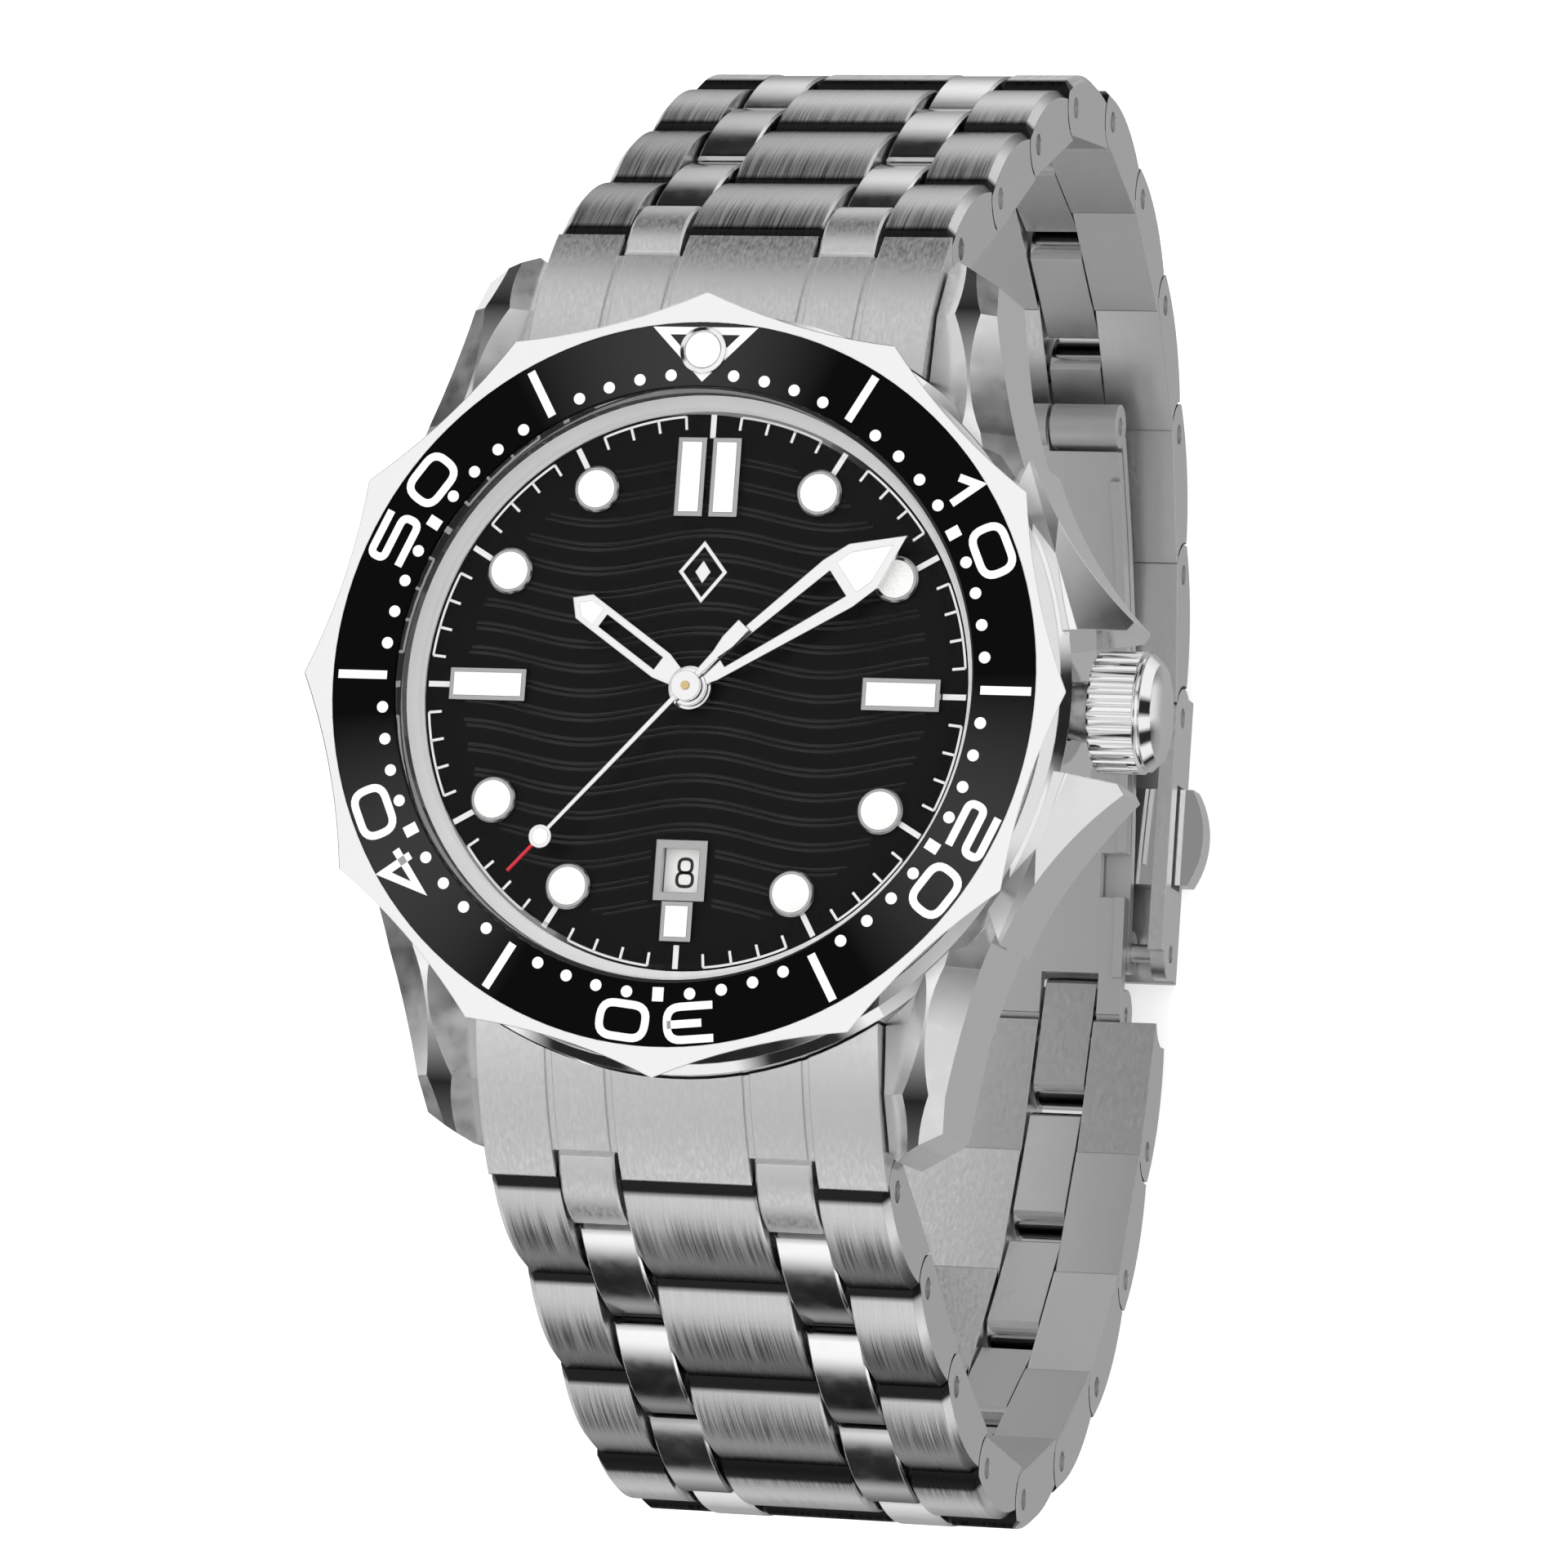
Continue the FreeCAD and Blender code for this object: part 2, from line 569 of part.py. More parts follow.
def crown():
    keep("crown_tube", cut("tube_cut", rod("tube_rod", 1.6, 15.6, 21.6, (0, "crown_level"), "X"),
                           [rod("tube_bore", 0.85, 10, 24, (0, "crown_level"), "X")]))
    profile = turned("crown_profile", [
        (1.72, "crown_start"), ("crown_radius - 0.15", "crown_start"), ("crown_radius", "crown_start + 0.15"),
        ("crown_radius", "crown_fluted_end - 0.1"), ("crown_radius - 0.2", "crown_fluted_end"),
        ("crown_radius - 0.2", "crown_fluted_end + 0.15"), ("crown_radius - 0.12", "crown_fluted_end + 0.25"),
        ("crown_radius - 0.6", "crown_fluted_end + 0.75", 6), ("dome_flat", "crown_end"), (0, "crown_end"),
        (0, 23.0), (1.72, 23.0),
    ])
    flute = rod("flute", 0.24, "crown_start - 1", "crown_fluted_end - 0.12", ("crown_radius + 0.08", 0))
    count = int(value("flute_count"))
    flutes = [placed(f"flute_{n}", flute, about_z(360 / count * n)) for n in range(count)]
    body = cut("crown_fluted", profile, [group("flutes", flutes)])
    axis = Placement(Vector(0, 0, value("crown_level")), Rotation(Vector(0, 1, 0), 90))
    keep("crown", placed("crown_placed", body, axis))
    stem = rod("stem_round", 0.6, 11.6, 23.0, (0, "crown_level"), "X")
    square = block("stem_square", (8.2, -0.4, "crown_level - 0.4"), (11.8, 0.4, "crown_level + 0.4"))
    keep("winding_stem", fused("stem", [stem, square]))
    seal = cut("seal_cut", rod("seal_rod", 0.84, 18.6, 19.2, (0, "crown_level"), "X"),
               [rod("seal_bore", 0.6, 18, 20, (0, "crown_level"), "X")])
    keep("crown_gasket", seal)
    wheel = gear(16, 0.16, 0.9, 0.5)
    wheel = wheel.cut(Part.makeBox(0.92, 0.92, 3, Vector(-0.46, -0.46, -1)))
    wheel.rotate(Vector(), Vector(0, 1, 0), 90)
    keep("clutch_wheel", formed("clutch", wheel, Placement(Vector(9.4, 0, value("crown_level")), Rotation())))


# ---------------------------------------------------------------- movement

def gear(teeth, module, width, hub, spokes=0, bore=0.0):
    """A wheel from z = 0 to width: straight-sided teeth with room to run, and crescents between spokes."""
    tip, root = module * (teeth / 2 + 0.8), module * (teeth / 2 - 1.15)
    step = 2 * math.pi / teeth
    points = []
    for n in range(teeth):
        for share, radius in ((-0.27, root), (-0.1, tip), (0.1, tip), (0.27, root)):
            angle = step * (n + share)
            points.append(Vector(radius * math.cos(angle), radius * math.sin(angle), 0))
    shape = Part.Face(Part.makePolygon([*points, points[0]])).extrude(Vector(0, 0, width))
    if spokes:
        inside, outside = hub + 0.2, root - 0.45
        ring = Part.makeCylinder(outside, width * 3, Vector(0, 0, -width))
        ring = ring.cut(Part.makeCylinder(inside, width * 3, Vector(0, 0, -width)))
        for n in range(spokes):
            arm = Part.makeBox(outside + 1, 0.4, width * 4, Vector(0, -0.2, -width * 1.5))
            arm.rotate(Vector(), Vector(0, 0, 1), 360 / spokes * n)
            ring = ring.cut(arm)
        shape = shape.cut(ring)
    if bore:
        shape = shape.cut(Part.makeCylinder(bore, width * 3, Vector(0, 0, -width)))
    return shape


def shaft(radius, low, high):
    return Part.makeCylinder(radius, high - low, Vector(0, 0, low))


def lifted(shape, level, turn=0.0):
    copy = shape.copy()
    copy.rotate(Vector(), Vector(0, 0, 1), turn)
    copy.translate(Vector(0, 0, level))
    return copy


def meshing_turn(teeth, driver_teeth, spot):
    """How far a pinion at the spot is turned so that its gap faces a tooth of the wheel about the origin."""
    heading = math.degrees(math.atan2(spot.y, spot.x))
    step = 360 / teeth
    return (heading + 180 - step * (0.5 - heading * driver_teeth / 360)) % step


# Places of the arbors across the movement. The minute wheel and the third wheel mesh on both sides.
MINUTE_WHEEL_AT = Vector(0, 2.4, 0)
THIRD_WHEEL_AT = Vector(-4.5, 0, 0)
ESCAPE_AT = Vector(3.47, 2.653, 0)
FORK_AT = Vector(6.3, 4.95, 0)
BALANCE_AT = Vector(5.4, 8.0, 0)
BARREL_AT = Vector(-0.8, -8.9, 0)


def motion_work():
    """Under the dial: 12 to 36 and 10 to 40 teeth turn the hour wheel once in twelve turns of the minutes."""
    pinion = lifted(gear(12, 0.1, 0.3, 0.4), -1.25)
    pinion = pinion.fuse(shaft(0.5, -2.6, 1.37)).cut(shaft(0.3, -4, 2))
    keep("cannon_pinion", formed("cannon", pinion))
    pipe = shaft(0.75, -0.9, 0.9).fuse(lifted(gear(40, 0.096, 0.25, 0.9, 4), -0.9))
    keep("hour_wheel", formed("hour_pipe", pipe.cut(shaft(0.56, -4, 4))))
    lower = lifted(gear(36, 0.1, 0.24, 0.8, 4), -1.24, 5)
    upper = lifted(gear(10, 0.096, 0.5, 0.3), -1.1)
    wheel = lower.fuse(upper).fuse(shaft(0.25, -1.9, -0.55))
    keep("minute_wheel", formed("minute_work", wheel, Placement(MINUTE_WHEEL_AT, Rotation())))


def going_train():
    """Behind the plate: centre wheel 75 to 10, third wheel 80 to 10, so the seconds turn 60 times an hour."""
    centre = lifted(gear(75, 0.1059, 0.25, 1.0, 5), -3.45).fuse(shaft(0.55, -3.75, -3.1))
    keep("centre_wheel", formed("centre_work", centre.cut(shaft(0.3, -6, 1))))
    third = lifted(gear(80, 0.1, 0.25, 0.8, 5), -4.25).fuse(lifted(gear(10, 0.1059, 0.6, 0.3), -3.6))
    third = third.fuse(shaft(0.2, -4.95, -2.6))
    keep("third_wheel", formed("third_work", third, Placement(THIRD_WHEEL_AT, Rotation())))
    seconds = lifted(gear(70, 0.112, 0.22, 0.8, 4), -4.75).fuse(lifted(gear(10, 0.1, 0.5, 0.3), -4.4, 18))
    seconds = seconds.fuse(shaft(0.22, -4.95, 1.9))
    keep("fourth_wheel", formed("fourth_work", seconds))
    escape = lifted(gear(15, 0.24, 0.2, 0.5, 4), -3.7).fuse(shaft(0.18, -4.95, -2.6))
    escape = escape.fuse(lifted(gear(8, 0.112, 0.45, 0.3), -4.85, meshing_turn(8, 70, ESCAPE_AT)))
    keep("escape_wheel", formed("escape_work", escape, Placement(ESCAPE_AT, Rotation())))
    barrel = lifted(gear(84, 0.115, 0.35, 2.0), -3.6).fuse(shaft(4.3, -4.6, -3.3)).fuse(shaft(0.5, -4.95, -2.6))
    keep("barrel", formed("barrel_drum", barrel, Placement(BARREL_AT, Rotation())))


def escapement():
    lever = Part.makeBox(0.4, 2.6, 0.18, Vector(-0.2, -0.2, -3.68))
    arms = Part.makeBox(2.6, 0.4, 0.18, Vector(-1.3, -0.9, -3.68))
    neck = Part.makeBox(0.4, 1.0, 0.18, Vector(-0.2, -0.9, -3.68))
    fork = lever.fuse(arms).fuse(neck).fuse(shaft(0.18, -4.1, -2.6))
    aim = math.degrees(math.atan2(BALANCE_AT.y - FORK_AT.y, BALANCE_AT.x - FORK_AT.x)) - 90
    keep("pallet_fork", formed("fork", fork, Placement(FORK_AT, Rotation(Vector(0, 0, 1), aim))))
    rim = shaft(3.4, -4.55, -4.2).cut(shaft(2.9, -5, -4))
    arm = Part.makeBox(6.2, 0.5, 0.3, Vector(-3.1, -0.25, -4.5))
    spiral = shaft(1.9, -4.15, -4.0).cut(shaft(1.7, -5, -3)).fuse(Part.makeBox(1.9, 0.15, 0.15, Vector(0, 0, -4.15)))
    wheel = rim.fuse(arm).fuse(shaft(0.3, -4.9, -2.7)).fuse(spiral)
    keep("balance_wheel", formed("balance", wheel, Placement(BALANCE_AT, Rotation())))


def plates():
    body = turned("plate_blank", [
        (0, "plate_bottom"), ("plate_radius", "plate_bottom"), ("plate_radius", "plate_top"), (0, "plate_top"),
    ])
    flange = cut("plate_rim", rod("rim_rod", "dial_radius", -3, -2.2), [rod("rim_bore", 14, -4, 0)])
    seat = rod("dial_seat", "ring_inner - 0.2", "plate_top", "-dial_thickness - 0.02")
    recess = rod("motion_recess", 5.0, -1.3, 0)
    hole = rod("centre_hole", 0.56, -5, 1)
    stem_slot = block("stem_slot", (7.6, -1.6, "crown_level - 1.5"), (16, 1.6, "crown_level + 2.0"))
    pivots = []
    for n, (spot, size) in enumerate((
        (MINUTE_WHEEL_AT, 0.28), (THIRD_WHEEL_AT, 0.24), (ESCAPE_AT, 0.22), (FORK_AT, 0.22),
        (BALANCE_AT, 0.34), (BARREL_AT, 0.55),
    )):
        pivots.append(rod(f"pivot_{n}", size, -3.5, -1.2 if n == 0 else -2.4, (spot.x, spot.y)))
    cut_plate = cut("plate_cut", fused("plate_all", [body, flange, seat]), [recess, hole, stem_slot, *pivots])
    keep("mainplate", cut_plate)
    bridge = cut("bridge_cut", rod("bridge_disc", 13.6, -5.5, -4.98),
                 [rod("balance_gap", 4.0, -6, -4, (BALANCE_AT.x, BALANCE_AT.y)),
                  block("stem_gap", (8, -3, -6), (15, 3, -4))])
    posts = [rod(f"bridge_post_{n}", 0.8, -5.0, "plate_bottom", (x, y))
             for n, (x, y) in enumerate(((-11.5, 3.2), (-10.6, -6.2), (9.2, -8.6), (-3.4, 11.6)))]
    cock = block("balance_cock", (4.5, 7.0, -5.5), (6.3, 13.0, -4.98))
    foot = rod("cock_foot", 0.8, -5.0, "plate_bottom", (5.4, 12.2))
    keep("train_bridge", fused("bridge", [bridge, *posts, cock, foot]))


def date_and_rotor():
    ring = turned("date_blank", [
        ("ring_radius", -0.98), ("ring_inner", -0.98), ("ring_inner", -0.6), ("ring_radius", -0.6),
    ])
    keep("date_ring", ring)
    half = rod("rotor_disc", 13.6, -6.6, -6.1)
    side = block("rotor_side", (-20, 1.2, -8), (20, 20, -3))
    weight = cut("rotor_half", half, [side])
    rim = cut("rotor_rim", rod("rim_disc", 13.9, -7.3, -5.9), [rod("rim_inner", 11.4, -9, -4),
                                                               block("rim_side", (-20, -1.5, -9), (20, 20, -3))])
    hub = rod("rotor_hub", 2.2, -7.2, -5.9)
    bore = rod("rotor_bore", 0.9, -9, -4)
    keep("winding_rotor", cut("rotor", fused("rotor_all", [weight, rim, hub]), [bore]))


# ---------------------------------------------------------------- bracelet

def link_outline():
    """Side view of a brushed piece: round knuckle at the pin, domed face, hollow end round the next pin."""
    knuckle, reach = value("knuckle"), value("knuckle + knuckle_gap")
    pitch, inside = value("pitch"), value("link_inside")
    rise, lip = 1.38, 1.25
    start_top = (-math.sqrt(knuckle ** 2 - rise ** 2), rise)
    end_top = (pitch - math.sqrt(reach ** 2 - lip ** 2), lip)
    end_low = (pitch - math.sqrt(reach ** 2 - inside ** 2), -inside)
    start_low = (-math.sqrt(knuckle ** 2 - inside ** 2), -inside)
    middle = ((start_top[0] + end_top[0]) / 2, value("link_crown"))
    edges = [
        Part.Arc(in_yz(*start_top), in_yz(*middle), in_yz(*end_top)).toShape(),
        Part.Arc(in_yz(*end_top), in_yz(pitch - reach, 0), in_yz(*end_low)).toShape(),
        Part.LineSegment(in_yz(*end_low), in_yz(*start_low)).toShape(),
        Part.Arc(in_yz(*start_low), in_yz(-knuckle, 0), in_yz(*start_top)).toShape(),
    ]
    return Part.Face(Part.Wire(edges))


def narrow_outline(back, front):
    """Side view of a polished piece that bridges two rows, in the frame of the pin it turns on."""
    edges = [
        Part.Arc(in_yz(back, 1.3), in_yz((back + front) / 2, 1.86), in_yz(front, 1.3)).toShape(),
        Part.Arc(in_yz(front, 1.3), in_yz(front + 0.12, -0.2), in_yz(front - 0.7, -1.45)).toShape(),
        Part.LineSegment(in_yz(front - 0.7, -1.45), in_yz(back + 0.7, -1.45)).toShape(),
        Part.Arc(in_yz(back + 0.7, -1.45), in_yz(back - 0.12, -0.2), in_yz(back, 1.3)).toShape(),
    ]
    return Part.Face(Part.Wire(edges))


def pulled(face, low, high):
    """The side view pulled across the band between two places on X."""
    shape = face.extrude(Vector(high - low, 0, 0))
    shape.translate(Vector(low, 0, 0))
    return shape


def bar(radius, along, reach, across=0.0):
    return Part.makeCylinder(radius, 2 * reach, Vector(-reach, along, across), Vector(1, 0, 0))


def softened(shape, size, side):
    """Bevels the long top edges of a piece: those that run along the band at the given places on X."""
    edges = []
    for edge in shape.Edges:
        box = edge.BoundBox
        if box.XLength < 0.01 and any(abs(box.XMin - place) < 0.01 for place in side) and box.YLength > 3:
            if edge.CenterOfMass.z > 0.8:
                edges.append(edge)
    return shape.makeChamfer(size, edges) if edges else shape


def piece_places():
    """Edges of the pieces across half the band: centre, narrow and outer."""
    outer_high = value("band_half")
    outer_low = outer_high - value("outer_width")
    narrow_high = outer_low - value("piece_gap")
    narrow_low = narrow_high - value("narrow_width")
    centre = narrow_low - value("piece_gap")
    return centre, narrow_low, narrow_high, outer_low, outer_high


FIXED_PIN = 4.6
NARROW_BACK, NARROW_FRONT = -5.75, 2.05


def brushed_pieces(face):
    centre, _, _, outer_low, outer_high = piece_places()
    middle = softened(pulled(face, -centre, centre), 0.12, (-centre, centre))
    right = softened(pulled(face, outer_low, outer_high), 0.4, (outer_high,))
    left = softened(pulled(face, -outer_high, -outer_low), 0.4, (-outer_high,))
    return [left, middle, right]


def narrow_pieces(face):
    _, low, high, _, _ = piece_places()
    return [softened(pulled(face, *side), 0.12, side) for side in ((low, high), (-high, -low))]


def link_row():
    """One row in its own frame: Y along the band from its pin, Z outwards."""
    pin, loose = value("pin_radius"), value("pin_radius + running")
    reach, pitch = value("band_half"), value("pitch")
    holes = bar(pin, 0, reach + 1).fuse(bar(pin, FIXED_PIN, reach - 0.6))
    brushed = [piece.cut(holes) for piece in brushed_pieces(link_outline())]
    bores = bar(loose, 0, reach).fuse(bar(pin, FIXED_PIN - pitch, reach))
    narrow = [piece.cut(bores) for piece in narrow_pieces(narrow_outline(NARROW_BACK, NARROW_FRONT))]
    for piece in narrow:
        piece.translate(Vector(0, pitch, 0))
    pins = [bar(pin, 0, reach - 0.45), bar(pin, FIXED_PIN, reach - 0.6)]
    return Part.makeCompound([*brushed, *narrow, *pins])


def chain_pins():
    """The pin line of the 12 o'clock half: where each row's pin lies, as (y, z)."""
    spots = [(value("first_pin_y"), value("first_pin_z"))]
    for heading in ROW_HEADINGS:
        turn = math.radians(heading)
        y, z = spots[-1]
        spots.append((y + value("pitch") * math.cos(turn), z - value("pitch") * math.sin(turn)))
    return spots


def half_turn():
    """Carries a 12 o'clock piece to the 6 o'clock side."""
    return Placement(Vector(), Rotation(Vector(0, 0, 1), 180))


def bracelet():
    row = link_row()
    spots = chain_pins()
    for n, heading in enumerate(ROW_HEADINGS):
        place = Placement(in_yz(*spots[n]), Rotation(Vector(1, 0, 0), -heading))
        keep(f"link_a{n + 1}", formed(f"row_a{n + 1}", row, place))
        keep(f"link_b{n + 1}", formed(f"row_b{n + 1}", row, half_turn() * place))


def end_link_shape():
    """The satin end piece between the lugs at 12 o'clock, hollow round the first pin of the band."""
    pin_y, pin_z = value("first_pin_y"), value("first_pin_z")
    reach = value("knuckle + knuckle_gap")

    def round_pin(angle):
        turn = math.radians(angle)
        return in_yz(pin_y + reach * math.cos(turn), pin_z + reach * math.sin(turn))

    # the lower lip stands clear of the first row when that row folds inwards
    lower_lip = in_yz(pin_y - 1.9, pin_z - 1.5)
    edges = [
        Part.Arc(in_yz(15, -0.35), in_yz(20.9, -1.9), round_pin(84)).toShape(),
        Part.Arc(round_pin(84), round_pin(150), round_pin(198)).toShape(),
        Part.LineSegment(round_pin(198), lower_lip).toShape(),
        Part.LineSegment(lower_lip, in_yz(15, -8.2)).toShape(),
        Part.LineSegment(in_yz(15, -8.2), in_yz(15, -0.35)).toShape(),
    ]
    half = value("lug_gap") / 2 - 0.12
    body = pulled(Part.Face(Part.Wire(edges)), -half, half)
    hollow = Part.makeCylinder(value("case_radius") + 0.08, 30, Vector(0, 0, -20))
    bezel_room = Part.makeCylinder(value("bezel_radius") + 0.15, 5, Vector(0, 0, -0.6))
    body = body.cut(hollow).cut(bezel_room)
    centre, low, high, outer_low, _ = piece_places()
    for side in (1, -1):
        slot = Part.makeBox(high - low + 0.5, 4, 9, Vector(low - 0.25, pin_y - 1.15, pin_z - 4))
        if side < 0:
            slot = slot.mirror(Vector(), Vector(1, 0, 0))
        body = body.cut(slot)
        for place in (centre + 0.08, outer_low - 0.08):
            body = body.cut(line_groove(side * place))
    for tongue in narrow_pieces(narrow_outline(-2.6, NARROW_FRONT)):
        tongue.rotate(Vector(), Vector(1, 0, 0), -TAB_HEADING)
        tongue.translate(in_yz(pin_y, pin_z))
        body = body.fuse(tongue)
    spring_bar = bar(0.5 + value("running"), value("lug_bar_y"), 12, value("lug_bar_z"))
    return body.cut(spring_bar).cut(bar(value("pin_radius + running"), pin_y, 12, pin_z))


def line_groove(place):
    """A shallow line cut along the top of the end piece."""
    pin_y, pin_z = value("first_pin_y"), value("first_pin_z")
    path = Part.Arc(in_yz(15, -0.35), in_yz(20.9, -1.9), in_yz(pin_y + 0.2, pin_z + 1.94)).toShape()
    lower = path.copy()
    lower.translate(Vector(0, 0, -0.16))
    upper = path.copy()
    upper.translate(Vector(0, 0, 0.5))
    ends = [Part.LineSegment(a.Point, b.Point).toShape() for a, b in (
        (upper.Vertexes[1], lower.Vertexes[1]), (lower.Vertexes[0], upper.Vertexes[0]))]
    face = Part.Face(Part.Wire([upper, ends[0], lower, ends[1]]))
    return pulled(face, place - 0.2, place + 0.2)


def end_links():
    upper = Part.makeCompound(end_link_shape().Solids)
    lower = upper.copy()
    lower.rotate(Vector(), Vector(0, 0, 1), 180)
    keep("end_links", formed("end_pieces", Part.makeCompound([upper, lower])))
    bars = [bar(0.5, side * value("lug_bar_y"), 12.5, value("lug_bar_z")) for side in (1, -1)]
    keep("lug_spring_bars", formed("spring_bars", Part.makeCompound(bars)))


# ---------------------------------------------------------------- clasp

def arc_point(radius, across):
    """A point of the clasp's curve, at a radius about its centre and a place along Y."""
    centre_y, centre_z = value("blade_centre_y"), value("blade_centre_z")
    return in_yz(across, centre_z - math.sqrt(radius ** 2 - (across - centre_y) ** 2))


def blade_strip(radius, start, end, half):
    """A curved plate of the clasp between two places along Y."""
    thick = value("blade_thickness") / 2
    middle = (start + end) / 2
    inner, outer = radius - thick, radius + thick
    edges = [
        Part.Arc(arc_point(inner, start), arc_point(inner, middle), arc_point(inner, end)).toShape(),
        Part.LineSegment(arc_point(inner, end), arc_point(outer, end)).toShape(),
        Part.Arc(arc_point(outer, end), arc_point(outer, middle), arc_point(outer, start)).toShape(),
        Part.LineSegment(arc_point(outer, start), arc_point(inner, start)).toShape(),
    ]
    return pulled(Part.Face(Part.Wire(edges)), -half, half)


def knuckle_rod(radius, spot, low, high):
    return Part.makeCylinder(radius, high - low, Vector(low, spot.y, spot.z), Vector(1, 0, 0))


def clasp_spots():
    """The pins of the clasp: band end, cover end, knee between the blades, and the 6 o'clock band end."""
    y, z = chain_pins()[-1]
    knee = arc_point(value("blade_radius"), value("knee_y"))
    return in_yz(y, z), in_yz(value("cover_pin_y"), value("cover_pin_z")), knee, in_yz(-y, z)


def clasp_cover():
    start, hinge, _, _ = clasp_spots()
    base, half = value("cover_outer_z"), value("band_half")
    front, back = start.y + 1.9, hinge.y - 1.6
    plate = Part.makeBox(2 * half, front - back - 0.6, value("cover_plate"), Vector(-half, back, base))
    shape = plate
    for side in (1, -1):
        low = half - value("cover_wall") if side > 0 else -half
        high = half if side > 0 else value("cover_wall") - half
        wall = Part.makeBox(high - low, start.y - hinge.y, start.z + 1.6 - base, Vector(low, hinge.y, base))
        wall = wall.fuse(knuckle_rod(1.75, start, low, high)).fuse(knuckle_rod(1.6, hinge, low, high))
        wall = wall.fuse(Part.makeBox(high - low, 1.5, start.z - base, Vector(low, start.y - 0.2, base)))
        wall = wall.fuse(Part.makeBox(high - low, 1.5, hinge.z - base, Vector(low, hinge.y - 1.5, base)))
        gap = Part.makeBox(4, 6.2, 2.3, Vector(side * half - 2, -1.3, base + value("cover_plate") + 0.1))
        shape = shape.fuse(wall).cut(gap)
    _, near, far, _, _ = piece_places()
    for place in ((near - 0.2, far + 0.2), (-far - 0.2, -near + 0.2)):
        shape = shape.cut(knuckle_rod(2.55, start, *place))
    shape = shape.cut(knuckle_rod(0.6, start, -12, 12)).cut(knuckle_rod(0.55, hinge, -12, 12))
    long_edges = [e for e in shape.Edges
                  if e.BoundBox.YLength > 10 and abs(e.BoundBox.ZMin - base) < 0.01 and e.BoundBox.ZLength < 0.01]
    shape = shape.makeFillet(0.45, long_edges)
    band_pin = knuckle_rod(0.6, start, -10.5, 10.5)
    hinge_pin = knuckle_rod(0.55, hinge, -10.5, 10.5)
    keep("clasp_cover", formed("cover", Part.makeCompound([shape.removeSplitter(), band_pin, hinge_pin])))


def blades():
    _, hinge, knee, last = clasp_spots()
    middle, offset, half = value("blade_radius"), value("blade_pitch"), value("blade_half")
    loose, rim = value("running"), 1.3
    # outer blade: hinged in the cover, its plate nearer the links
    plate = blade_strip(middle + offset, hinge.y + 0.6, knee.y - 0.4, half)
    roll = knuckle_rod(1.3, hinge, -half, half)
    shape = plate.fuse(roll).cut(knuckle_rod(rim + 0.25, knee, -4.6, 4.6))
    for low, high in ((-half, -4.6), (4.6, half)):
        shape = shape.fuse(knuckle_rod(rim, knee, low, high))
    shape = shape.cut(Part.makeBox(6.4, 8.4, 6, Vector(-3.2, -1.2, hinge.z - 2)))
    shape = shape.cut(knuckle_rod(0.55 + loose, hinge, -12, 12)).cut(knuckle_rod(0.55, knee, -12, 12))
    knee_pin = knuckle_rod(0.55, knee, -half + 0.3, half - 0.3)
    keep("blade_outer", formed("blade_out", Part.makeCompound([shape, knee_pin])))
    # inner blade: lies on the wrist, pinned to the last row of the 6 o'clock half
    plate = blade_strip(middle - offset, last.y - 0.2, knee.y - 0.4, half)
    shape = plate.fuse(knuckle_rod(1.5, last, -half, half)).fuse(knuckle_rod(rim, knee, -4.35, 4.35))
    shape = shape.cut(knuckle_rod(0.55 + loose, knee, -12, 12))
    for low, high in ((-half - 0.8, -4.4), (4.4, half + 0.8)):
        shape = shape.cut(knuckle_rod(rim + 0.25, knee, low, high))
    for side in (1, -1):
        edge = blade_strip(middle - offset - 0.3, last.y + 2.0, knee.y - 3.2, 0.3)
        edge.translate(Vector(side * (half - 0.3), 0, 0))
        shape = shape.fuse(edge)
        notch = Part.makeBox(3.2, 2.6, 6, Vector(side * half - 1.6, -2.2, -64))
        shape = shape.cut(notch)
    catch = Part.makeBox(4.0, 3.0, 1.9, Vector(-2.0, 1.3, -64.4))
    neck = Part.makeBox(2.6, 3.0, 2.5, Vector(-1.3, 1.3, -63.6))
    shape = shape.fuse(catch).fuse(neck)
    _, low, high, _, _ = piece_places()
    for place in ((low - 0.2, high + 0.2), (-high - 0.2, -low + 0.2)):
        shape = shape.cut(knuckle_rod(2.75, last, *place))
    shape = shape.cut(knuckle_rod(0.45, last, -12, 12))
    last_pin = knuckle_rod(0.45, last, -half + 0.2, half - 0.2)
    keep("blade_inner", formed("blade_in", Part.makeCompound([*shape.Solids, last_pin])))


def push_buttons():
    base, half = value("cover_outer_z + cover_plate"), value("band_half")
    pad = Part.makeCylinder(5.6, 1.7, Vector(half - 3.9, 1.8, base + 0.25), Vector(0, 0, 1))
    pad = pad.common(Part.makeBox(4.6, 5.8, 4, Vector(half - 2.6, -1.1, base)))
    nose = Part.makeBox(half - 2.2 - 3.0, 3.0, 1.1, Vector(3.0, 0.3, base + 0.3))
    right = pad.fuse(nose).removeSplitter()
    left = right.mirror(Vector(), Vector(1, 0, 0))
    keep("push_button_right", formed("button_right", right))
    keep("push_button_left", formed("button_left", left))


# ---------------------------------------------------------------- checks and files

def check_document():
    doc.recompute()
    for item in doc.Objects:
        if "Invalid" in item.State or "Error" in item.State:
            raise RuntimeError(f"{item.Name} failed: {item.State}")
    for name, item in nodes.items():
        shape = item.Shape
        if shape.isNull() or not shape.isValid() or not shape.Solids:
            raise RuntimeError(f"{name} has no valid solid")


def write_nodes():
    os.makedirs("parts", exist_ok=True)
    for name, item in nodes.items():
        item.Shape.exportStep(f"parts/{name}.step")


fill_sheet()
case_middle()
case_back()
glass()
bezel()
dial()
hour_markers()
hands()
crown()
motion_work()
going_train()
escapement()
plates()
date_and_rotor()
bracelet()
end_links()
clasp_cover()
blades()
push_buttons()
check_document()
write_nodes()
